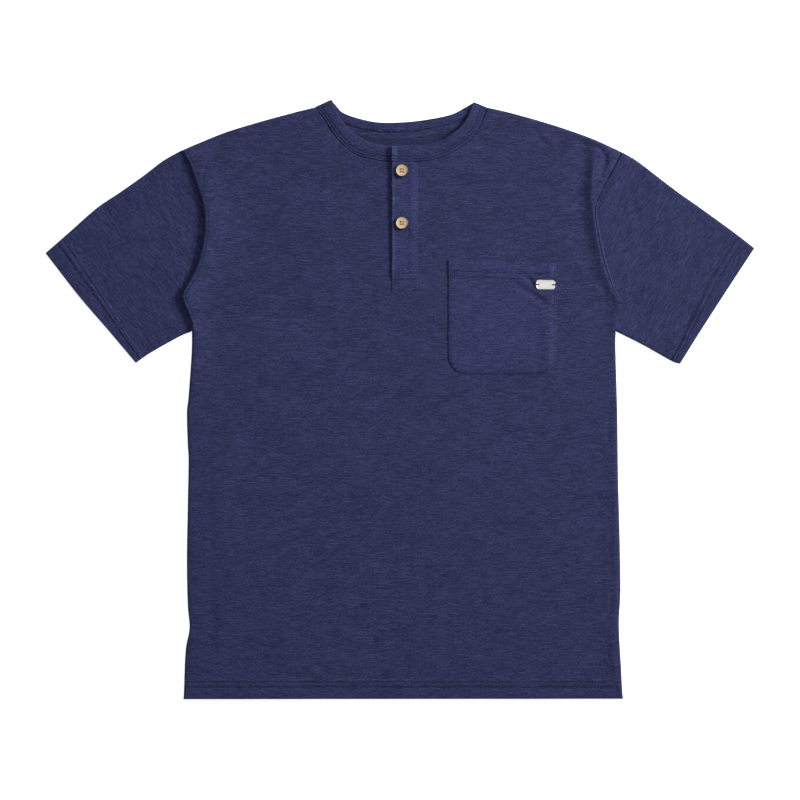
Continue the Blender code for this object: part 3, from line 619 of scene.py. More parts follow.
def sewing_thread(name, code):
    """Spun polyester sewing thread: a soft shine, and its plies as slanting lines. These come
    out 7.5 mm apart along x, where 0.6 mm was meant, by a mistake like the one at the wales."""
    material, tree, shader = new_material(name, {
        "Base Color": linear(code), "Roughness": 0.7, "Specular IOR Level": 0.15})
    place = add(tree, "ShaderNodeTexCoord").outputs["Object"]
    plies = add(tree, "ShaderNodeTexWave", {"wave_type": "BANDS", "bands_direction": "DIAGONAL",
                                            "Scale": 1000 / 0.6 / 20}, {"Vector": place})
    bump = add(tree, "ShaderNodeBump", {"Strength": 0.4, "Distance": 0.0001},
               {"Height": plies.outputs["Fac"]})
    tree.links.new(bump.outputs[0], shader.inputs["Normal"])
    return material


def turned_wood(name, dark, pale):
    """Beech turned on a lathe and lightly waxed: fine fibres along the grain, from dark to pale,
    under a thin satin coat."""
    material, tree, shader = new_material(name, {
        "Roughness": 0.5, "IOR": 1.5, "Coat Weight": 0.15, "Coat Roughness": 0.35})
    place = add(tree, "ShaderNodeTexCoord").outputs["Object"]
    scaled = add(tree, "ShaderNodeMapping", {"Scale": (1000 / 6.0, 1000 / 0.7, 1000 / 2.0)},
                 {"Vector": place}).outputs[0]
    fibre = add(tree, "ShaderNodeTexNoise", {"Scale": 1.0, "Detail": 3.0},
                {"Vector": scaled}).outputs["Fac"]
    tone = add(tree, "ShaderNodeValToRGB", None, {"Fac": fibre})
    tone.color_ramp.elements[0].position = 0.3
    tone.color_ramp.elements[0].color = linear(dark)
    tone.color_ramp.elements[1].position = 0.62
    tone.color_ramp.elements[1].color = linear(pale)
    tree.links.new(tone.outputs["Color"], shader.inputs["Base Color"])
    bump = add(tree, "ShaderNodeBump", {"Strength": 0.2, "Distance": 0.0001}, {"Height": fibre})
    tree.links.new(bump.outputs[0], shader.inputs["Normal"])
    return material


def plated_metal(name):
    """Stamped zinc alloy with a pale satin nickel plate: soft highlights, hair-fine scratches."""
    material, tree, shader = new_material(name, {
        "Base Color": linear("#E9E8E4"), "Metallic": 1.0, "Roughness": 0.38})
    place = add(tree, "ShaderNodeTexCoord").outputs["Object"]
    scaled = add(tree, "ShaderNodeMapping", {"Scale": (1000 / 8.0, 1000 / 0.25, 1000 / 1.0)},
                 {"Vector": place}).outputs[0]
    hairs = add(tree, "ShaderNodeTexNoise", {"Scale": 1.0, "Detail": 2.0},
                {"Vector": scaled}).outputs["Fac"]
    rough = add(tree, "ShaderNodeMapRange", {"From Min": 0.3, "From Max": 0.7, "To Min": 0.30,
                                             "To Max": 0.46}, {"Value": hairs})
    tree.links.new(rough.outputs[0], shader.inputs["Roughness"])
    bump = add(tree, "ShaderNodeBump", {"Strength": 0.08, "Distance": 0.0001},
               {"Height": hairs})
    tree.links.new(bump.outputs[0], shader.inputs["Normal"])
    return material


CUFF_HEADING = {"right": -50.4, "left": 57.5}       # the way the courses run on a sleeve
jersey = slub_jersey("slub_jersey", 0.0)
# the wrong side: the backs of the loops, duller and darker, and darkened further still as painted
# shade for the shade inside the neck
jersey_wrong_side_and_shade = slub_jersey("slub_jersey_wrong_side_and_painted_shade", 0.0, 0.68)
# two layers that were pressed together look a little paler
jersey_double = slub_jersey("slub_jersey_pressed_double", 0.0, 1.15)
sleeve_jersey = {side: slub_jersey("slub_jersey_sleeve_" + side, heading)
                 for side, heading in CUFF_HEADING.items()}
# very dark: partly the navy thread's own colour, partly painted shade of the grooves the stitches
# lie in
navy_thread_and_groove_shade = sewing_thread("navy_polyester_thread_with_painted_shade", "#0E1022")
tan_thread = sewing_thread("tan_polyester_thread", "#8A6C48")
beech = turned_wood("waxed_beech", "#B79A78", "#DAC3A1")
# a much darker wood, given to a ring at each button's edge
dark_rim_wood = turned_wood("beech_dark_rim", "#2E2422", "#4A3C38")
nickel = plated_metal("satin_nickel_plate")


# ---------------------------------------------------------------- front and back
UNDER_END = SLOT_RIGHT - 1.0
ARM = {side: evenly(smooth(points, 1.5), step=3.0) for side, points in ARMHOLE.items()}
NECK = {"right": [up_to(smooth(line, 1.0), UNDER_END) for line in (NECK_SEAM, NECK_EDGE)],
        "left": [up_to(smooth(line[::-1], 1.0), PLACKET_LEFT) for line in (NECK_SEAM, NECK_EDGE)]}
NAPE = [smooth(line, 1.0) for line in (BACK_SEAM, BACK_EDGE)]
EDGE_LINES.update({
    # rise, length of one pucker, how far it reaches, where it starts
    (0.16, 13.0, 9.0, 0.4): [tuple(p) for p in evenly(smooth(SIDE["right"], 5), step=12)],
    (0.16, 14.0, 9.0, 2.2): [tuple(p) for p in evenly(smooth(SIDE["left"], 5), step=12)],
    (0.10, 12.0, 8.0, 1.1): [tuple(p) for p in evenly(smooth(NECK_SEAM, 5), step=10)],
    (0.14, 15.0, 10.0, 5.0): [tuple(p) for p in evenly(smooth(ARMHOLE["left"], 5), step=10)],
    (0.15, 9.0, 9.0, 0.7): [tuple(p) for p in evenly(smooth(ARMHOLE["right"], 5), step=10)],
    (0.2, 14.0, 7.0, 3.0): [(-259, 19), (267, 19)],
})
RIM_STITCH = 6.2           # the topstitching inside the wearer's right armhole


def on_line(xy, line, limit=1.0):
    return np.abs(across(xy, line)[0]) < limit


def body_outline(neck):
    """The outline of a body panel, anticlockwise from the hem at the wearer's right."""
    def part(line):
        return evenly(smooth(line, 2.0), step=5.0)[:-1]

    outline = np.vstack([
        straight(SIDE["right"][-1], SIDE["left"][-1], 3.5)[:-1], part(SIDE["left"][::-1]),
        ARM["left"][:0:-1], part(SHOULDER["left"][::-1]), neck[:-1], part(SHOULDER["right"]),
        ARM["right"][:-1], part(SIDE["right"])])
    return outline + normals(outline, closed=True) * (GAP / 2)


def slit_neck():
    """The front's neck from the wearer's left to the right, with the slit for the placket."""
    apart = 2.0
    left, right = (evenly(NECK[side][0], step=3.0) for side in ("left", "right"))
    return np.vstack([
        left[left[:, 0] > SLOT_RIGHT + apart],
        straight((SLOT_RIGHT, PLACKET_TOP), (SLOT_RIGHT, SLOT_FOOT), 5.0),
        straight((SLOT_RIGHT, SLOT_FOOT), (SLOT_LEFT, SLOT_FOOT), 5.0)[1:-1],
        straight((SLOT_LEFT, SLOT_FOOT), (SLOT_LEFT, PLACKET_TOP + GAP), 5.0),
        right[::-1][right[::-1][:, 0] < SLOT_LEFT - apart]])


def crease_rows(creases):
    """Rows of points beside every crease, close enough to draw its section."""
    rows = []
    for _, before, after, line in creases:
        offsets = [-2.2 * before, -1.4 * before, -0.7 * before, 0.0, 0.7 * after, 1.4 * after,
                   2.2 * after]
        path = smooth(line, 4.0) if len(line) > 2 else np.array(line, float)
        rows.append(rows_beside(path, offsets, max(2.2, 0.6 * min(before, after))))
    return rows


def hem_rows(line):
    """Rows of points beside the needle lines of a hem, which runs along line."""
    offsets = [n + off for n in NEEDLES for off in (-1.5, -0.7, 0.0, 0.7, 1.5)]
    return rows_beside(line, offsets + [HEM_DEPTH - 0.4, HEM_DEPTH + 0.9, HEM_DEPTH + 2.2], 3.2)


HEM_LINE = [(-257.5, 0.0), (265.5, 0.0)]
HEM_SEWN = (-257.5, 265.2)         # where its stitches start and end


def wall(xy):
    return CLOTH + (HEM_CLOTH - CLOTH) * (1 - eased((xy[:, 1] - HEM_DEPTH + 0.6) / 2.2))


def edge_kind(xy):
    """For each point of a body's outline: 0 a cut or hem, 1 a fold or the wearer's left
    armhole, 2 the rim of the right one."""
    kind = np.zeros(len(xy), int)
    for table in (SHOULDER, SIDE):
        for line in table.values():
            kind[on_line(xy, smooth(line, 3.0))] = 1
    kind[xy[:, 1] < 3.0] = 0
    kind[on_line(xy, ARM["left"])] = 1
    kind[on_line(xy, ARM["right"])] = 2
    return kind


def make_front():
    """The front panel. Its profile adds two kinds of edge: 3 for the upper part of the wearer's
    left armhole and 4 for the part that has rolled up."""
    def height(xy):
        z = front_top(xy)
        d = np.abs(across(xy, ARM["right"], 12.0)[0])
        return z + np.where(d < 11, groove(d - RIM_STITCH, 0.18), 0.0)

    def profile(xy):
        top, n, kind = height(xy), len(xy), edge_kind(xy)
        low = top - wall(xy)
        left_arm = on_line(xy, ARM["left"])
        kind[left_arm] = 3
        kind[left_arm & (xy[:, 1] < ROLL_FROM - ROLL_BLEND)] = 4
        kinds = [stacked(cut(top, low), n), stacked(rolled(SEAM_HIGH, top, low), n),
                 stacked(rolled(RIM_LOW, top, low, RIM_ROLL), n),
                 stacked(rolled(RIM_LOW, top, low), n),
                 stacked(rolled(KEPT_UP, top, low, KEPT_ROLL), n)]
        return np.choose(kind[None, :, None], kinds)

    extra = crease_rows(CREASES) + crease_rows(FOLDS) + [hem_rows(HEM_LINE)]
    extra.append(rows_beside(ARM["right"], [RIM_STITCH + off for off in (-1.2, 0, 1.2, 4, 7)],
                             2.4))
    piece = panel("front_jersey", body_outline(slit_neck()), profile, height,
                  lambda xy: height(xy) - wall(xy), jersey, extra=np.vstack(extra))
    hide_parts("front")
    return piece, height


def make_back():
    def top(xy):
        return wall(xy) + back_lift(xy)

    def bottom(xy):
        lines = groove(xy[:, 1] - NEEDLES[0], 0.3) + groove(xy[:, 1] - NEEDLES[1], 0.3)
        return back_lift(xy) - lines

    def profile(xy):
        n, kind = len(xy), edge_kind(xy)
        high = wall(xy)
        curled = stacked([(d, z) for d, z in rolled(SEAM_LOW, 0.0, high)][::-1], n)
        flat = stacked(cut(high, 0.0), n)
        return np.where(kind[None, :, None] > 0, curled, flat)

    extra = crease_rows(BACK_CREASES) + [hem_rows(HEM_LINE)]
    nape = evenly(NAPE[0], step=3.0)[::-1]
    piece = panel("back_jersey", body_outline(nape), profile, top, bottom, jersey,
                  spacing=6.0, extra=np.vstack(extra))
    # the back's upper faces, seen only through the neck, take the darker wrong side with its
    # painted shade
    piece.data.materials.append(jersey_wrong_side_and_shade)
    for face in piece.data.polygons:
        face.material_index = int(face.normal.z > 0.5)
    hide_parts("back")
    return piece


# ---------------------------------------------------------------- sleeves
FOLD_MIDDLE = 1.75                 # height of the middle of a sleeve's folded edge
CUFF_NEEDLES = (14.0, 20.0)        # the twin-needle lines of a cuff, above its edge
SLEEVE_MARKS = 160                 # points along each of a sleeve's four sides
SLEEVE_ACROSS = 84                 # points across a sleeve, between its folded edges
UNDER_STITCH = 0.24                # height of the stitches on the underside
ON_CLOTH = 0.12                    # how far a stitch's middle stands off the cloth


def tube_faces(rings, count, closed=False):
    """Faces of a tube of rings, count points each. A closed one joins its last to its first."""
    faces = []
    for r in range(rings if closed else rings - 1):
        a, b = r * count, (r + 1) % rings * count
        faces += [(a + i, a + (i + 1) % count, b + (i + 1) % count, b + i) for i in range(count)]
    if not closed:
        faces += [tuple(range(count))[::-1], tuple(range((rings - 1) * count, rings * count))]
    return faces


def sleeve_map(side):
    """Where a sleeve's points lie, between its armhole, cuff, top fold and underarm."""
    away = 1 if side == "left" else -1
    arm = ARM[side] + normals(ARM[side]) * (away * GAP / 2)
    cuff, fold, under = (smooth(np.array(table[side], float), 2.0)
                         for table in (CUFF, SLEEVE_FOLD, UNDERARM))
    cuff, fold, under = (evenly(line, count=SLEEVE_MARKS) for line in (cuff, fold, under))
    # the fold and the underarm are drawn over to meet the armhole's ends
    fading = np.linspace(1, 0, SLEEVE_MARKS)[:, None] ** 2
    fold += (arm[0] - fold[0]) * fading
    under += (arm[-1] - under[0]) * fading
    arm = evenly(arm, count=SLEEVE_MARKS)
    marks = np.linspace(0, 1, SLEEVE_MARKS)

    def along(line, share):
        return np.stack([np.interp(share, marks, line[:, k]) for k in (0, 1)], axis=-1)

    def plan(s, t):
        """s runs from the armhole to the cuff, t from the top fold to the underarm."""
        s, t = np.broadcast_arrays(s, t)
        k, m = s[..., None], t[..., None]
        sides = along(arm, t) * (1 - k) + along(cuff, t) * k
        ends = along(fold, s) * (1 - m) + along(under, s) * m
        corners = ((arm[0] * (1 - k) + cuff[0] * k) * (1 - m)
                   + (arm[-1] * (1 - k) + cuff[-1] * k) * m)
        return sides + ends - corners

    return plan, lengths(arm)[-1], lengths(cuff)[-1]


def sleeve_height(side, s, from_cuff, xy):
    """Height of a sleeve's outer face, a share s of the way to its cuff."""
    arm, middle, cuff = SLEEVE_LIE[side]
    z = arm + (middle - arm) * np.minimum(1.0, 4.0 * s) ** 0.7
    z = z + (cuff - middle - 0.5) * np.maximum(0.0, 6.0 * s - 5.0) + 0.4 * wave_rise(xy)
    z = z + crease_rise(xy, SLEEVE_CREASES[side]) + ripple(xy)
    z = z + 0.5 * (1 - eased((from_cuff - HEM_DEPTH + 2.0) / 2.2))
    for needle in CUFF_NEEDLES:
        z = z + groove(from_cuff - needle)
    return z + 0.4 * np.exp(-((from_cuff - sum(CUFF_NEEDLES) / 2) / 1.9) ** 2)


def make_sleeve(side):
    """A flattened tube of cloth. Each section is a loop: over the top and back underneath."""
    plan, arm_long, cuff_long = sleeve_map(side)
    length = float(np.linalg.norm(plan(1.0, 0.5) - plan(0.0, 0.5)))
    from_cuff = np.concatenate([
        [0.0, 0.15, 0.5, 1.6, 4.0, 7.0, 10.0, 12.3],
        [n + off for n in CUFF_NEEDLES for off in (-0.8, -0.3, 0.3, 0.8)],
        [17.0, HEM_DEPTH - 2.4, HEM_DEPTH - 1.2, HEM_DEPTH, HEM_DEPTH + 1.5]])
    from_cuff = np.unique(np.concatenate([from_cuff, np.arange(27.0, length - 1.0, 2.6),
                                          [length - 0.5, length]]))[::-1]
    s = 1.0 - from_cuff / length
    widths = arm_long + (cuff_long - arm_long) * s
    level = np.linspace(0, 1, SLEEVE_ACROSS)[1:-1]
    turn = (math.pi / 2, 1.22, 0.87, 0.52, 0.2)    # round a folded edge, in radians
    turn_in = np.array([1 - math.sin(a) for a in turn])
    turn_up = np.array([math.cos(a) for a in turn])
    turn_up[0] = 0.0

    def loops(deep):
        """All the sections; deep is 0 for the outer face and 1 for the inner one."""
        thick = deep * (CLOTH + (HEM_CLOTH - CLOTH) * (1 - eased((from_cuff - HEM_DEPTH) / 2.0)))
        reach = (thick[:, None] + (ROLL - thick[:, None]) * turn_in) / widths[:, None]
        flat_t = reach[:, -1:] + (1 - 2 * reach[:, -1:]) * level
        t = np.concatenate([reach, flat_t, 1 - reach[:, ::-1]], axis=1)
        rise = np.concatenate([turn_up, np.ones(len(level)), turn_up[::-1]])
        xy = plan(s[:, None], t)
        flat_xy = xy.reshape(-1, 2)
        high = sleeve_height(side, np.repeat(s, t.shape[1]), np.repeat(from_cuff, t.shape[1]),
                             flat_xy).reshape(t.shape)
        soft = 0.35 * np.clip(1 - from_cuff / 0.5, 0, 1)[:, None]
        up = FOLD_MIDDLE + (high - thick[:, None] - FOLD_MIDDLE) * rise
        pulled = -sum(groove(from_cuff - needle, 0.3) for needle in CUFF_NEEDLES)[:, None]
        down = FOLD_MIDDLE + (thick[:, None] + pulled * (1 - deep) - FOLD_MIDDLE) * rise
        if deep:
            up, down = up + soft, down - soft
        else:
            up, down = up - soft, down + soft
        top = np.concatenate([xy, up[..., None]], axis=2)
        under = np.concatenate([xy, down[..., None]], axis=2)[:, -2:0:-1]
        return np.concatenate([top, under], axis=1)

    outer, inner = loops(0.0), loops(1.0)[::-1]
    rings = np.concatenate([outer, inner])
    faces = tube_faces(len(rings), rings.shape[1], closed=True)
    if side == "left":
        faces = [f[::-1] for f in faces]
    piece = make_piece("sleeve_%s_jersey" % side, rings.reshape(-1, 3), faces,
                       sleeve_jersey[side])
    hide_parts("sleeve_" + side)
    return piece, plan, length


# ---------------------------------------------------------------- sewing
ROLL_THICK, ROLL_ASIDE, ROLL_UP = 3.8, 0.75, -0.35     # the rolled seam, from the armhole
SEAM_DEEP = 1.4           # height of the threads that close an armhole's seam, inside
THREAD, HEM_THREAD = 0.66, 0.9     # drawn thicker than real thread, so that it shows
PITCH, STITCH = 3.2, 2.5  # from one stitch to the next, and what lies on top of each


ALONG = (-0.5, -0.28, 0.28, 0.5)   # a bar's four sections, as shares of its length
SIDES = 5                          # of a bar


def sewn(path, pitch=PITCH, stitch=STITCH, thick=THREAD, ups=None, zigzag=0.0, sink=0.16):
    """Stitches along a path in three dimensions, each a short bar whose ends dip into the cloth.
    zigzag turns them by turns to the left and right, as the looper threads of a cover stitch
    lie. Gives the points and faces."""
    path = np.asarray(path, float)
    total = lengths(path)[-1]
    count = int(total / pitch)
    centre = (np.arange(count) + 0.5) * total / count
    parts = [at_lengths(path, np.clip(centre + off * stitch, 0, total)) for off in ALONG]
    points = np.stack(parts, axis=1)                                  # count x 4 x 3
    ups = np.array([[0.0, 0.0, 1.0]] * 2 if ups is None else ups)
    share = np.linspace(0, 1, len(ups))
    up = np.stack([np.interp(centre / total, share, ups[:, k]) for k in range(3)], axis=1)
    up /= np.linalg.norm(up, axis=1)[:, None]
    run = points[:, 3] - points[:, 0]
    run /= np.linalg.norm(run, axis=1)[:, None]
    side = np.cross(up, run)
    side /= np.linalg.norm(side, axis=1)[:, None]
    if zigzag:
        lean = zigzag * np.where(np.arange(count) % 2, 1, -1)[:, None] * side
        for k, off in enumerate(ALONG):
            points[:, k] += lean * off * stitch
    points[:, 0] -= up * sink
    points[:, 3] -= up * sink
    radii = np.array([0.6, 1.0, 1.0, 0.6]) * thick / 2
    angles = math.tau * np.arange(SIDES) / SIDES
    ring = (np.cos(angles)[None, :, None] * side[:, None, :]
            + np.sin(angles)[None, :, None] * up[:, None, :])           # count x 5 x 3
    verts = points[:, :, None, :] + radii[None, :, None, None] * ring[:, None, :, :]
    # the two ends come first in a bar's faces
    one = tube_faces(len(ALONG), SIDES)
    one = one[-2:] + one[:-2]
    faces = [tuple(len(ALONG) * SIDES * k + i for i in f) for k in range(count) for f in one]
    return verts.reshape(-1, 3), faces


def sewing(name, rows, material=None):
    """Joins rows of stitches into one piece."""
    verts, faces, used = [], [], 0
    for points, own in rows:
        verts.append(points)
        faces += [tuple(i + used for i in f) for f in own]
        used += len(points)
    return make_piece(name, np.vstack(verts), faces, material or navy_thread_and_groove_shade, 80)


def on_top(xy, height):
    """A path in the plane, laid on a surface."""
    xy = np.asarray(xy, float)
    return np.column_stack([xy, height(xy) + ON_CLOTH])


def hem_path(needle):
    start, end = HEM_SEWN
    return straight((start, needle), (end, needle), 2.0)


def front_sewing(height):
    rows = [sewn(on_top(hem_path(needle), height), thick=HEM_THREAD)
            for needle in NEEDLES]
    rim = ARM["right"] + normals(ARM["right"]) * RIM_STITCH
    rows.append(sewn(on_top(evenly(rim, step=1.5)[3:-8], height)))
    return sewing("front_stitches", rows)


def back_sewing():
    paths = [hem_path(needle) for needle in NEEDLES]
    return sewing("back_stitches", [
        sewn(np.column_stack([path, np.full(len(path), UNDER_STITCH)]), sink=-0.1)
        for path in paths])


def sleeve_sewing(side, plan, length):
    rows = []
    t = np.linspace(0.02, 0.98, 120)
    for needle in CUFF_NEEDLES:
        s = np.full(len(t), 1 - needle / length)
        xy = plan(s, t)
        z = sleeve_height(side, s, np.full(len(t), needle), xy) + ON_CLOTH
        rows.append(sewn(np.column_stack([xy, z])))
        rows.append(sewn(np.column_stack([xy, np.full(len(t), UNDER_STITCH)]), sink=-0.1))
    # the overlocked seam fills the gap between the sleeve and the body
    run = lengths(ARM[side])[-1]
    seam = at_lengths(ARM[side], np.linspace(0.6, run - 0.6, round(run / 2.0)))
    rows.append(cord_of(np.column_stack([seam, np.full(len(seam), SEAM_DEEP)]), 0.9, 6,
                        len(seam)))
    return sewing("sleeve_%s_stitches" % side, rows)


def rolled_seam():
    """Down the wearer's left armhole the seam has rolled up into a thin ridge of jersey."""
    seam = evenly(ARM["left"] + normals(ARM["left"]) * ROLL_ASIDE, step=1.6)
    seam = seam[seam[:, 1] < ROLL_FROM][:-1]
    share = np.linspace(0, 1, len(seam))
    thick = ROLL_THICK * (0.55 + 0.45 * np.sin(np.pi * share) ** 0.3)
    path = np.column_stack([seam, front_top(seam) - 0.5 * thick + ROLL_UP])
    return sewing("armhole_left_roll", [cord_of(path, thick, 10, len(seam))], jersey)


# ---------------------------------------------------------------- neck band
BAND_NEEDLES = (3.3, 6.6)  # the cover stitch's two lines, above the band's seam
BINDING = 11.8             # how far down the band's inner layer reaches from its free edge
END_SEWN = -2.2            # the line that closes the band's upper end


def band_height(side, x):
    """Top of the band on the front. The upper end climbs over the under end, and its own
    end stands off a little."""
    if side == "right":
        return np.full(np.shape(x), BAND_FRONT)
    climb = eased((75.0 - x) / 50.0)
    lift = np.clip((END_SEWN - x) / (END_SEWN - PLACKET_LEFT), 0, 1)
    tucked = groove(x - END_SEWN, 0.35, 0.9)
    return BAND_FRONT + (BAND_OVER - BAND_FRONT - 0.5) * climb + 2.6 * lift + tucked


def band_path():
    """The band's sections in order: from the under end, up the wearer's right, across the nape,
    down the left and over to the upper end. Seam point, edge point and the outer face's way."""
    radius = (BAND_FRONT - BAND_THICK) / 2
    seams, edges, outs = [], [], []

    def place(seam, edge, z, out, inset, lift=0.0):
        run = (edge - seam) / np.linalg.norm(edge - seam)
        seams.append(np.append(seam + run * inset, z))
        edges.append(np.append(edge, z + lift))
        outs.append(out)

    def corner(seam, edge, angles):
        run = (edge - seam) / np.linalg.norm(edge - seam)
        away = np.array([-run[1], run[0]])
        away = -away if away[1] < 0 else away
        for angle in angles:
            c, s_ = math.cos(math.radians(angle)), math.sin(math.radians(angle))
            shift = away * (radius * c - radius - BAND_THICK / 2)
            place(seam + shift, edge + shift, BAND_FRONT / 2 + radius * s_,
                  np.array([away[0] * c, away[1] * c, s_]), BAND_INSET)

    flat = np.array([0.0, 0.0, 1.0])
    pairs = {side: [evenly(line, count=81) for line in NECK[side]] for side in NECK}
    for seam, edge in list(zip(*pairs["right"]))[:9:-1]:
        place(seam, edge, BAND_FRONT - BAND_THICK / 2, flat, GAP / 2)
    corner(NAPE[0][0], NAPE[1][0], [80, 60, 40, 20, 0, -20, -40, -60, -80])
    for seam, edge in list(zip(*[evenly(line, count=85) for line in NAPE]))[8:-8]:
        place(seam, edge, BAND_THICK / 2, -flat, GAP / 2)
    corner(NAPE[0][-1], NAPE[1][-1], [-80, -60, -40, -20, 0, 20, 40, 60, 80])
    for seam, edge in list(zip(*pairs["left"]))[10:]:
        # its free edge stands off the nape beside the wearer's left
        lift = 2.2 * math.exp(-((seam[0] - 84.0) / 17.0) ** 2)
        place(seam, edge, float(band_height("left", seam[0])) - BAND_THICK / 2, flat, GAP / 2,
              lift)
    return np.array(seams), np.array(edges), np.array(outs)


def band_face(u, wide, up):
    """How far the outer face stands from the band's middle, u mm from the seam."""
    half = BAND_THICK / 2
    h = half + 0.22 * np.sin(np.pi * np.clip(u / wide, 0, 1)) * up
    for needle in BAND_NEEDLES:
        h = h + groove(u - needle, 0.24, 0.65)
    return h


def make_band():
    seams, edges, outs = band_path()
    wide = np.linalg.norm(edges - seams, axis=1)
    run = (edges - seams) / wide[:, None]
    up = np.clip(outs[:, 2], 0, 1)
    half = BAND_THICK / 2
    columns = []           # (distance from the seam, height from the middle), one pair a row

    def outer(u, scale=1.0):
        columns.append((u, band_face(u, wide, up) * scale))

    def inner(u, h):
        columns.append((u, np.full(len(wide), -h)))

    columns.append((0 * wide, 0 * wide))
    outer(0 * wide + 0.12, 0.6)
    outer(0 * wide + 0.5, 0.92)
    for u in (1.2, 2.0, 2.6, 3.0, 3.3, 3.6, 4.0, 5.0, 5.9, 6.3, 6.6, 6.9, 7.3):
        outer(0 * wide + u)
    for share in (0.25, 0.5, 0.75):
        outer(7.3 + (wide - 1.9 - 7.3) * share)
    outer(wide - 1.9)
    outer(wide - 1.0, 0.95)
    outer(wide - 0.3, 0.66)
    columns.append((wide, 0 * wide))
    inner(wide - 0.3, half * 0.66)
    inner(wide - 1.0, half * 0.95)
    inner(wide - 2.0, half)
    inner(wide - 6.0, half + 0.1)
    inner(wide - BINDING + 1.6, half + 0.05)
    inner(wide - BINDING + 0.9, half - 0.12)
    inner(wide - BINDING + 0.2, half)
    inner(wide - BINDING - 0.1, half * 0.45)
    inner(wide - BINDING - 0.6, half * 0.32)
    inner((wide - BINDING) * 0.5, half * 0.32)
    inner(0 * wide + 0.5, half * 0.32)
    tuck = np.where(outs[:, 2] < -0.5, 1.5, -0.1)     # lies over the back's raw edge inside
    inner(-tuck, half * 0.32)
    inner(-tuck, half * 0.20)
    inner(0 * wide + 0.05, half * 0.20)
    rings = np.stack([seams + run * u[:, None] + outs * h[:, None] for u, h in columns], axis=1)
    piece = make_piece("neck_band_jersey", rings.reshape(-1, 3),
                       tube_faces(len(rings), rings.shape[1]), jersey)
    outward_faces(piece)
    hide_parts("neck_band")
    rows = []
    for needle in BAND_NEEDLES:
        h = band_face(0 * wide + needle, wide, up) + np.where(up > 0.5, ON_CLOTH, -0.02)
        rows.append(sewn(seams + run * needle + outs * h[:, None], ups=outs))
    nape = np.flatnonzero(outs[:, 2] < 0.3)
    path = (seams + run * (wide - BINDING + 0.9)[:, None] - outs * (half - 0.02))[nape]
    rows.append(sewn(path, pitch=1.9, stitch=2.3, thick=0.5, ups=-outs[nape], zigzag=0.55))
    return piece, sewing("neck_band_stitches", rows), band_allowance()


def band_allowance():
    """The turned-in edge that shows in the seam between the band and the placket."""
    seam = smooth(NECK_SEAM, 1.5)
    seam = seam[(seam[:, 0] > PLACKET_LEFT + 1.0) & (seam[:, 0] < PLACKET_RIGHT - 1.0)]
    high = placket_top(np.column_stack([seam[:, 0], np.full(len(seam), PLACKET_TOP - GAP)]))
    path = np.column_stack([seam[:, 0], seam[:, 1] - 0.05, high - 0.65])
    return sewing("neck_band_allowance", [cord_of(path, 1.0, 10, len(path))], jersey)


def outward_faces(piece):
    """Turns every face of a closed piece outwards."""
    bm = bmesh.new()
    bm.from_mesh(piece.data)
    bmesh.ops.recalc_face_normals(bm, faces=bm.faces)
    bm.to_mesh(piece.data)
    bm.free()


# ---------------------------------------------------------------- placket and pocket
BOX_ROWS = (511.4, 504.2, 490.6)       # rows of stitches across the placket's foot
BOX_SIDE = 19.4                        # the row down its right side
INNER_EDGE = 13.0                      # where the edge of the layer inside shows as a ridge


def placket_thick(xy):
    """The strip is pressed thin where it is sewn down, at its foot and its right side."""
    foot, side = xy[:, 1] - PLACKET_FOOT, PLACKET_RIGHT - xy[:, 0]
    thin = 1 - eased((foot - 14.0) / 7.0) * eased(side / 4.0)
    return PLACKET_THICK * (1 - 0.76 * thin)


def placket_top(xy):
    from_edge = np.clip(1.0 - (xy[:, 0] - PLACKET_LEFT) / 9.0, 0, 1)
    up = np.clip((xy[:, 1] - SLOT_FOOT) / (PLACKET_TOP - SLOT_FOOT), 0, 1)
    z = front_top(xy) + SEWN_DOWN + placket_thick(xy) + PLACKET_LIFT * from_edge * up
    # the ridge over the edge of the layer inside
    z += 0.35 * np.exp(-((xy[:, 0] - INNER_EDGE) / 2.6) ** 2) * eased((xy[:, 1] - 500) / 20)
    z += 0.8 * np.exp(-((xy[:, 0] - PLACKET_LEFT) / 1.9) ** 2) * eased((xy[:, 1] - 500) / 12)
    for row in BOX_ROWS:
        z += groove(xy[:, 1] - row, 0.4, 0.7)
    z += 0.2 * eased((505.0 - xy[:, 1]) / 3.0) * eased((xy[:, 1] - 489.0) / 3.0)
    z += groove(xy[:, 0] - BOX_SIDE, 0.15, 0.6)
    return z


def strip_profile(top, thick, reach=1.6, soft=0.15):
    def profile(xy):
        high = top(xy)
        return stacked(cut(high, high - thick(xy), reach, soft), len(xy))
    return profile


def box_outline(left, right, foot, top, step=2.0):
    corners = [(left, foot), (right, foot), (right, top), (left, top)]
    return np.vstack([straight(a, b, step)[:-1] for a, b in zip(corners, corners[1:]
                                                                + corners[:1])])


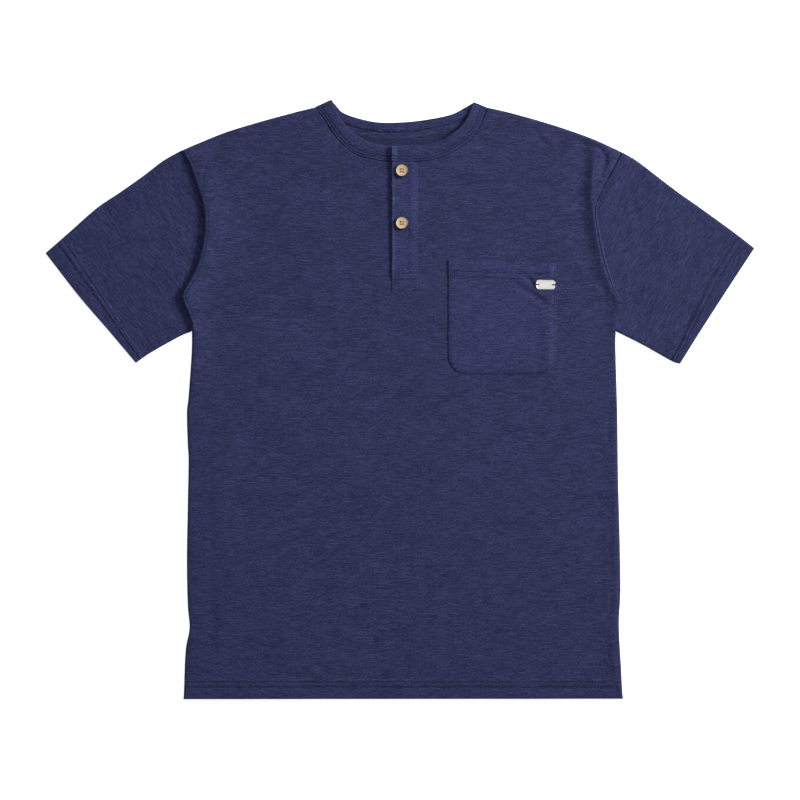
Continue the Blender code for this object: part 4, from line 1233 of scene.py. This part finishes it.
def make_placket():
    def even_thick(xy):
        return np.full(len(xy), PLACKET_THICK)

    under = panel("placket_under_jersey",
                  box_outline(SLOT_LEFT + GAP, SLOT_RIGHT - GAP, SLOT_FOOT + GAP,
                              PLACKET_TOP - 2 * GAP), strip_profile(front_top, even_thick),
                  front_top, lambda xy: front_top(xy) - PLACKET_THICK, jersey)
    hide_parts("placket_under")
    rows = [rows_beside([(PLACKET_LEFT, row), (PLACKET_RIGHT, row)], (-1.2, -0.5, 0, 0.5, 1.2),
                        1.6) for row in BOX_ROWS]
    rows.append(rows_beside([(BOX_SIDE, 489.0), (BOX_SIDE, PLACKET_TOP)], (-0.8, 0, 0.8), 2.0))
    rows.append(rows_beside([(PLACKET_LEFT, 646.0), (PLACKET_LEFT, 489.0)], (2.2, 3.0, 4.2), 2.0))
    upper = panel("placket_upper_jersey",
                  box_outline(PLACKET_LEFT, PLACKET_RIGHT, PLACKET_FOOT, PLACKET_TOP - GAP),
                  strip_profile(placket_top, placket_thick), placket_top,
                  lambda xy: placket_top(xy) - placket_thick(xy), jersey_double, spacing=1.9,
                  extra=np.vstack(rows))
    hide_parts("placket_upper")
    paths = [straight((PLACKET_LEFT + 1.4, row), (BOX_SIDE, row), 1.0) for row in BOX_ROWS]
    paths.append(straight((BOX_SIDE, 490.6), (BOX_SIDE, PLACKET_TOP - 1.5), 1.5))
    stitches = sewing("placket_stitches", [sewn(on_top(path, placket_top), pitch=2.8,
                                                stitch=2.1) for path in paths])
    return under, upper, stitches


def pocket_mouth(x):
    return POCKET_TOP + POCKET_SLANT * (x - POCKET_LEFT)


def pocket_ring(inset=0.0):
    """The pocket's outline, anticlockwise from its foot, or a line that far inside it."""
    r = POCKET_CORNER

    def round_corner(x, first):
        angles = np.radians(first + 6.0 * np.arange(16))
        return np.column_stack([x + r * np.cos(angles), POCKET_FOOT + r + r * np.sin(angles)])

    left, right = (round_corner(POCKET_LEFT + r, 180), round_corner(POCKET_RIGHT - r, 270))
    top_right, top_left = ((x, pocket_mouth(x)) for x in (POCKET_RIGHT, POCKET_LEFT))
    ring = np.vstack([left, straight(left[-1], right[0], 2.5)[1:-1], right,
                      straight(right[-1], top_right, 2.5)[1:], straight(top_right, top_left,
                                                                        2.5)[1:],
                      straight(top_left, left[0], 2.5)[1:-1]])
    return ring + normals(ring, closed=True) * inset


POCKET_NEEDLES = (13.7, 20.2)      # the hem of its mouth
POCKET_EDGE = 2.0                  # the stitches that hold it down, inside its edge


def pocket_thick(xy):
    """Two layers at the turned edges, pressed thin on the right and at the foot."""
    low = np.minimum(POCKET_RIGHT - xy[:, 0], xy[:, 1] - POCKET_FOOT)
    return POCKET_THICK * (0.6 + 0.4 * eased(low / 3.0))


def pocket_top(xy):
    ring = pocket_ring()
    d = np.abs(across(xy, np.vstack([ring, ring[:1]]))[0])
    from_mouth = pocket_mouth(xy[:, 0]) - xy[:, 1]
    from_right, from_foot = POCKET_RIGHT - xy[:, 0], xy[:, 1] - POCKET_FOOT
    z = front_top(xy) + SEWN_DOWN + pocket_thick(xy) + crease_rise(xy, POCKET_CREASES)
    # the turned-under edges: the cloth slopes off over them, most on the right
    lean = 0.30 * np.exp(-np.clip(from_foot, 0, 99) / 12.0) + 0.15
    z += lean * (eased(d / 8.5) - 0.7 * eased((d - 9.5) / 7.0))
    under_tag = np.exp(-((xy[:, 0] - 175.0) / 14.0) ** 4 - ((xy[:, 1] - 498.0) / 8.0) ** 4)
    slope = 0.75 + 0.6 * eased((17.0 - from_mouth) / 3.0) + 0.5 * eased((36.0 - from_foot) / 20.0)
    z += slope * (1 - under_tag) * (eased(from_right / 9.0) - eased((from_right - 9.0) / 16.0))
    z += 0.35 * (1 - eased((from_mouth - POCKET_NEEDLES[1] - 0.8) / 1.5))
    for needle in POCKET_NEEDLES:
        z += groove(from_mouth - needle)
    z += np.where(from_mouth > POCKET_EDGE, groove(d - POCKET_EDGE, 0.18, 0.6), 0.0)
    return z


def make_pocket():
    mouth = [(POCKET_LEFT, POCKET_TOP), (POCKET_RIGHT, pocket_mouth(POCKET_RIGHT))]
    offsets = [-n + off for n in POCKET_NEEDLES for off in (-1.2, -0.5, 0.0, 0.5, 1.2)]
    ring = pocket_ring()
    rows = [rows_beside(mouth, offsets, 2.6),
            rows_beside(np.vstack([ring, ring[:1]]), (2.0, 2.8, 8.0, 11.5, 13.0, 14.8), 2.6)]
    piece = panel("pocket_jersey", ring, strip_profile(pocket_top, pocket_thick, 1.4),
                  pocket_top, lambda xy: pocket_top(xy) - pocket_thick(xy), jersey_double,
                  spacing=2.8, extra=np.vstack(rows + crease_rows(POCKET_CREASES)))
    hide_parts("pocket")
    edge = pocket_ring(POCKET_EDGE)
    start = int(np.argmin(np.abs(edge[:, 0] - POCKET_LEFT - POCKET_EDGE)
                          + np.abs(edge[:, 1] - POCKET_TOP + POCKET_EDGE)))
    edge = np.roll(edge, -start, axis=0)
    edge = edge[:int(len(edge) * 0.97)]
    keep = pocket_mouth(edge[:, 0]) - edge[:, 1] > 1.5 * POCKET_EDGE
    paths = [evenly(edge[keep], step=1.2)]
    for needle in POCKET_NEEDLES:
        a, b = ((x, pocket_mouth(x) - needle) for x in (POCKET_LEFT + 1.5, POCKET_RIGHT - 1.5))
        paths.append(straight(a, b, 1.5))
    stitches = sewing("pocket_stitches", [sewn(on_top(path, pocket_top), pitch=2.9,
                                               stitch=2.2) for path in paths])
    return piece, stitches


# ---------------------------------------------------------------- buttons and tag, as by hand
def nothing_selected():
    if bpy.context.object and bpy.context.object.mode != "OBJECT":
        bpy.ops.object.mode_set(mode="OBJECT")
    bpy.ops.object.select_all(action="DESELECT")


def at(x, y, z):
    return (x * MM, (y - MIDDLE) * MM, z * MM)


def pick(obj, faces=None, edges=None):
    """In edit mode, selects the faces or edges for which the test is true."""
    bpy.ops.object.mode_set(mode="OBJECT")
    mesh = obj.data
    for group in (mesh.vertices, mesh.edges, mesh.polygons):
        group.foreach_set("select", [False] * len(group))
    mode = "FACE" if faces else "EDGE"
    if faces:
        for face in mesh.polygons:
            face.select = bool(faces(face))
    else:
        for edge in mesh.edges:
            edge.select = bool(edges(*(mesh.vertices[v].co for v in edge.vertices)))
    bpy.ops.object.mode_set(mode="EDIT")
    bpy.ops.mesh.select_mode(type=mode)


def settle(obj, name, material, angle):
    """Puts a hand-made piece's place into its mesh and gives it its name and finish."""
    bpy.ops.object.mode_set(mode="OBJECT")
    obj.name = obj.data.name = name
    bpy.ops.object.transform_apply(location=True, rotation=True, scale=True)
    bpy.ops.object.shade_smooth_by_angle(angle=math.radians(angle))
    obj.data.materials.clear()
    obj.data.materials.append(material)
    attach(obj, "root")
    return obj


def drill(obj, cutters):
    """Cuts the cutters out of obj and removes them."""
    for cutter in cutters:
        hole = obj.modifiers.new("hole", "BOOLEAN")
        hole.operation = "DIFFERENCE"
        hole.object = cutter
        nothing_selected()
        obj.select_set(True)
        bpy.context.view_layer.objects.active = obj
        bpy.ops.object.modifier_apply(modifier=hole.name)
        bpy.data.objects.remove(cutter, do_unlink=True)


BUTTON_R, BUTTON_THICK = 7.8, 2.6
BUTTON_EDGE = 1.15                 # round of its edge
DARK_RIM = 1.1                        # width of the dark ring at its edge
HOLE_R, HOLE_OUT = 0.95, 2.15      # of each hole, and how far out its middle is
STRAND, STRAND_APART = 0.3, 0.17   # a strand's thickness, and half the way between two
BUTTONS = {"button_top": (2.0, 635.0), "button_lower": (2.0, 572.0)}


def make_button(name, x, y):
    """A disc turned on a lathe: a domed rim, a shallow dish and four drilled holes."""
    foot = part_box(name)[0][2] / MM
    top = foot + BUTTON_THICK
    nothing_selected()
    bpy.ops.mesh.primitive_cylinder_add(
        vertices=72, radius=BUTTON_R * MM, depth=BUTTON_THICK * MM,
        location=at(x, y, foot + BUTTON_THICK / 2))
    button = bpy.context.object
    pick(button, faces=lambda f: f.normal.z > 0.9)
    bpy.ops.mesh.inset(thickness=1.7 * MM)
    bpy.ops.mesh.inset(thickness=0.7 * MM)
    bpy.ops.transform.translate(value=(0, 0, -0.3 * MM))
    bpy.ops.mesh.inset(thickness=1.6 * MM)
    bpy.ops.transform.translate(value=(0, 0, -0.1 * MM))
    pick(button, faces=lambda f: f.normal.z < -0.9)
    bpy.ops.mesh.inset(thickness=1.4 * MM)
    half = BUTTON_THICK / 2 * MM
    pick(button, edges=lambda a, b: min(math.hypot(a.x, a.y), math.hypot(b.x, b.y))
         > (BUTTON_R - 0.1) * MM and abs(abs(a.z) - half) < 1e-6 and abs(a.z - b.z) < 1e-6)
    bpy.ops.mesh.bevel(offset=BUTTON_EDGE * MM, segments=4, affect="EDGES")
    bpy.ops.object.mode_set(mode="OBJECT")
    cutters = []
    for quarter in range(4):
        a = math.radians(45 + 90 * quarter)
        nothing_selected()
        bpy.ops.mesh.primitive_cylinder_add(
            vertices=20, radius=HOLE_R * MM, depth=3 * BUTTON_THICK * MM,
            location=at(x + HOLE_OUT * math.cos(a), y + HOLE_OUT * math.sin(a), foot))
        cutters.append(bpy.context.object)
    drill(button, cutters)
    settle(button, name + "_turned", beech, 35)
    # the faces near the button's edge take the much darker wood
    button.data.materials.append(dark_rim_wood)
    for face in button.data.polygons:
        out = math.hypot(face.center.x / MM - x, face.center.y / MM + MIDDLE - y)
        face.material_index = int(out > BUTTON_R - DARK_RIM)
    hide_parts(name)
    # two strands of thread between each pair of holes, down to the cloth under the button
    reach = HOLE_OUT * math.cos(math.radians(45))
    rows = []
    for side in (-1, 1):
        for strand in (-STRAND_APART, STRAND_APART):
            line_y = y + side * reach + strand
            path = [(x - reach, line_y, foot + 0.3), (x - reach + 0.05, line_y, top - 0.9),
                    (x - reach * 0.6, line_y, top - 0.42), (x, line_y, top - 0.38),
                    (x + reach * 0.6, line_y, top - 0.42), (x + reach - 0.05, line_y, top - 0.9),
                    (x + reach, line_y, foot + 0.3)]
            rows.append(cord_of(path, STRAND))
    thread = sewing(name + "_thread", rows, tan_thread)
    return button, thread


def cord_of(path, thick, sides=8, count=19):
    """A piece of thread along a path: its points and faces."""
    path = evenly(np.asarray(path, float), count=count)
    thick = np.broadcast_to(thick, count)[:, None, None]
    run = np.gradient(path, axis=0)
    run /= np.linalg.norm(run, axis=1)[:, None]
    across_it = np.cross(run, [0.13, 0.99, 0.05])
    across_it /= np.linalg.norm(across_it, axis=1)[:, None]
    other = np.cross(run, across_it)
    angles = math.tau * np.arange(sides) / sides
    rings = path[:, None, :] + thick / 2 * (
        np.cos(angles)[None, :, None] * across_it[:, None, :]
        + np.sin(angles)[None, :, None] * other[:, None, :])
    return rings.reshape(-1, 3), tube_faces(len(path), sides)


TAG_X, TAG_Y, TAG_TURN = 174.7, 498.0, -1.0
TAG_LONG, TAG_WIDE, TAG_THICK = 23.0, 11.2, 0.9
TAG_CORNER = 3.6                   # round of its corners
TAG_SLOT_OUT = 8.6                 # from its middle to the middle of a slot
TAG_STRAND, TAG_APART = 0.5, 0.42  # a strand's thickness, and the way from one to the next


def make_tag():
    """A plate stamped from sheet: round-cornered, its middle pressed in below a plain rim, with
    a slot at each end. Its field is left bare."""
    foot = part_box("label_tag")[0][2] / MM
    nothing_selected()
    bpy.ops.mesh.primitive_cube_add(size=1.0, location=at(TAG_X, TAG_Y, foot + TAG_THICK / 2),
                                    rotation=(0, 0, math.radians(TAG_TURN)))
    tag = bpy.context.object
    tag.scale = (TAG_LONG * MM, TAG_WIDE * MM, TAG_THICK * MM)
    bpy.ops.object.transform_apply(location=False, rotation=False, scale=True)
    pick(tag, edges=lambda a, b: abs(a.z - b.z) > 0.5 * TAG_THICK * MM)
    bpy.ops.mesh.bevel(offset=TAG_CORNER * MM, segments=7, affect="EDGES")
    pick(tag, faces=lambda f: f.normal.z > 0.9)
    bpy.ops.mesh.inset(thickness=0.28 * MM)
    bpy.ops.mesh.inset(thickness=0.9 * MM)
    bpy.ops.mesh.inset(thickness=0.3 * MM)
    bpy.ops.transform.translate(value=(0, 0, -0.2 * MM))
    high = TAG_THICK / 2 * MM
    pick(tag, edges=lambda a, b: abs(a.z - b.z) < 1e-7 and abs(a.z - high) < 1e-7
         and min(outside_field(a), outside_field(b)) > -0.05)
    bpy.ops.mesh.bevel(offset=0.2 * MM, segments=3, affect="EDGES")
    bpy.ops.object.mode_set(mode="OBJECT")
    cutters = []
    turn = math.radians(TAG_TURN)
    for side in (-1, 1):
        nothing_selected()
        bpy.ops.mesh.primitive_cube_add(size=1.0, rotation=(0, 0, turn), location=at(
            TAG_X + side * TAG_SLOT_OUT * math.cos(turn),
            TAG_Y + side * TAG_SLOT_OUT * math.sin(turn), foot))
        cutter = bpy.context.object
        cutter.scale = (2.6 * MM, 1.1 * MM, 4 * TAG_THICK * MM)
        bpy.ops.object.transform_apply(location=False, rotation=False, scale=True)
        pick(cutter, edges=lambda a, b: abs(a.z - b.z) > TAG_THICK * MM)
        bpy.ops.mesh.bevel(offset=0.5 * MM, segments=4, affect="EDGES")
        bpy.ops.object.mode_set(mode="OBJECT")
        cutters.append(cutter)
    drill(tag, cutters)
    settle(tag, "label_tag_plate", nickel, 30)
    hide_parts("label_tag")
    # thread up through each slot and over the end of the plate, three strands a side
    rows = []
    for side in (-1, 1):
        for strand in (-TAG_APART, 0.0, TAG_APART):
            outs = [(TAG_SLOT_OUT - 0.9, -0.5), (TAG_SLOT_OUT - 0.8, TAG_THICK + 0.05),
                    (TAG_SLOT_OUT + 0.9, TAG_THICK + 0.25), (TAG_LONG / 2, TAG_THICK + 0.2),
                    (TAG_LONG / 2 + 0.45, TAG_THICK - 0.3), (TAG_LONG / 2 + 0.5, -0.4)]
            path = [(TAG_X + side * out * math.cos(turn) - strand * math.sin(turn),
                     TAG_Y + side * out * math.sin(turn) + strand * math.cos(turn), foot + z)
                    for out, z in outs]
            rows.append(cord_of(path, TAG_STRAND))
    thread = sewing("label_tag_thread", rows)
    return tag, thread


def outside_field(co):
    """How far, in mm, a point of the plate lies outside a box 0.2 mm inside its edges."""
    return max(abs(co.x) / MM - TAG_LONG / 2 + 3.8, abs(co.y) / MM - TAG_WIDE / 2 + 3.8) - 3.6


# ---------------------------------------------------------------- the garment
front, front_height = make_front()
back = make_back()
front_stitches = front_sewing(front_height)
back_stitches = back_sewing()
band, band_stitches, band_edge = make_band()
placket_under, placket_upper, placket_stitches = make_placket()
pocket, pocket_stitches = make_pocket()
sleeves = {}
for wearer_side in ("right", "left"):
    sleeve, sleeve_plan, sleeve_long = make_sleeve(wearer_side)
    sleeves[wearer_side] = (sleeve, [sleeve_sewing(wearer_side, sleeve_plan, sleeve_long)])
sleeves["left"][1].append(rolled_seam())
for button_name, (button_x, button_y) in BUTTONS.items():
    make_button(button_name, button_x, button_y)
make_tag()

# ---------------------------------------------------------------- floor, light, camera
# white background paper. It gives off light of its own, which makes it plain white and hides
# nearly all of the shadow on it
paper = new_material("white_paper_floor", {
    "Base Color": linear("#F4F4F4"), "Roughness": 0.9, "Specular IOR Level": 0.1,
    "Emission Color": linear("#FFFFFF"), "Emission Strength": 0.76})[0]
FLOOR_DOWN = 0.0002                  # metres below the garment, clear of its underside
bpy.ops.mesh.primitive_plane_add(size=12, location=(0, 0, -FLOOR_DOWN))
floor = bpy.context.object
floor.name = "floor"
floor.data.materials.append(paper)


def soft_light(name, place, size, power, colour, aim=(0, 0, 0), spread=180):
    """A square softbox. A grid in front of it narrows its spread, in degrees."""
    data = bpy.data.lights.new(name, "AREA")
    data.size, data.energy, data.color = size, power, linear(colour)[:3]
    data.spread = math.radians(spread)
    lamp = bpy.data.objects.new(name, data)
    lamp.location = place
    lamp.rotation_euler = (Vector(aim) - Vector(place)).to_track_quat("-Z", "Y").to_euler()
    bpy.context.scene.collection.objects.link(lamp)


soft_light("key_softbox", (3.8, 1.55, 1.87), 1.5, 21.9, "#FFFDFA", (0.09, 0.18, 0), 44)
soft_light("fill_softbox", (-0.3, 2.6, 2.6), 1.8, 21.0, "#FFFFFF")
soft_light("top_softbox", (0.4, 0.4, 4.8), 1.5, 16.0, "#FFFFFF")
world = bpy.data.worlds.new("white_studio")
world.use_nodes = True
world.node_tree.nodes["Background"].inputs["Color"].default_value = (1, 1, 1, 1)
world.node_tree.nodes["Background"].inputs["Strength"].default_value = 0.16
scene = bpy.context.scene
scene.world = world
scene.view_settings.view_transform = "Standard"

FIELD = 0.960                        # metres across the picture, at the garment's face
FACE_UP, CAMERA_UP = 0.003, 4.0      # height of that face, and of the camera above it
camera = bpy.data.objects.new("camera", bpy.data.cameras.new("camera"))
camera.data.sensor_width = 36.0
camera.data.lens = 36.0 * CAMERA_UP / FIELD
camera.location = (0, 0, CAMERA_UP + FACE_UP)
scene.collection.objects.link(camera)
scene.camera = camera
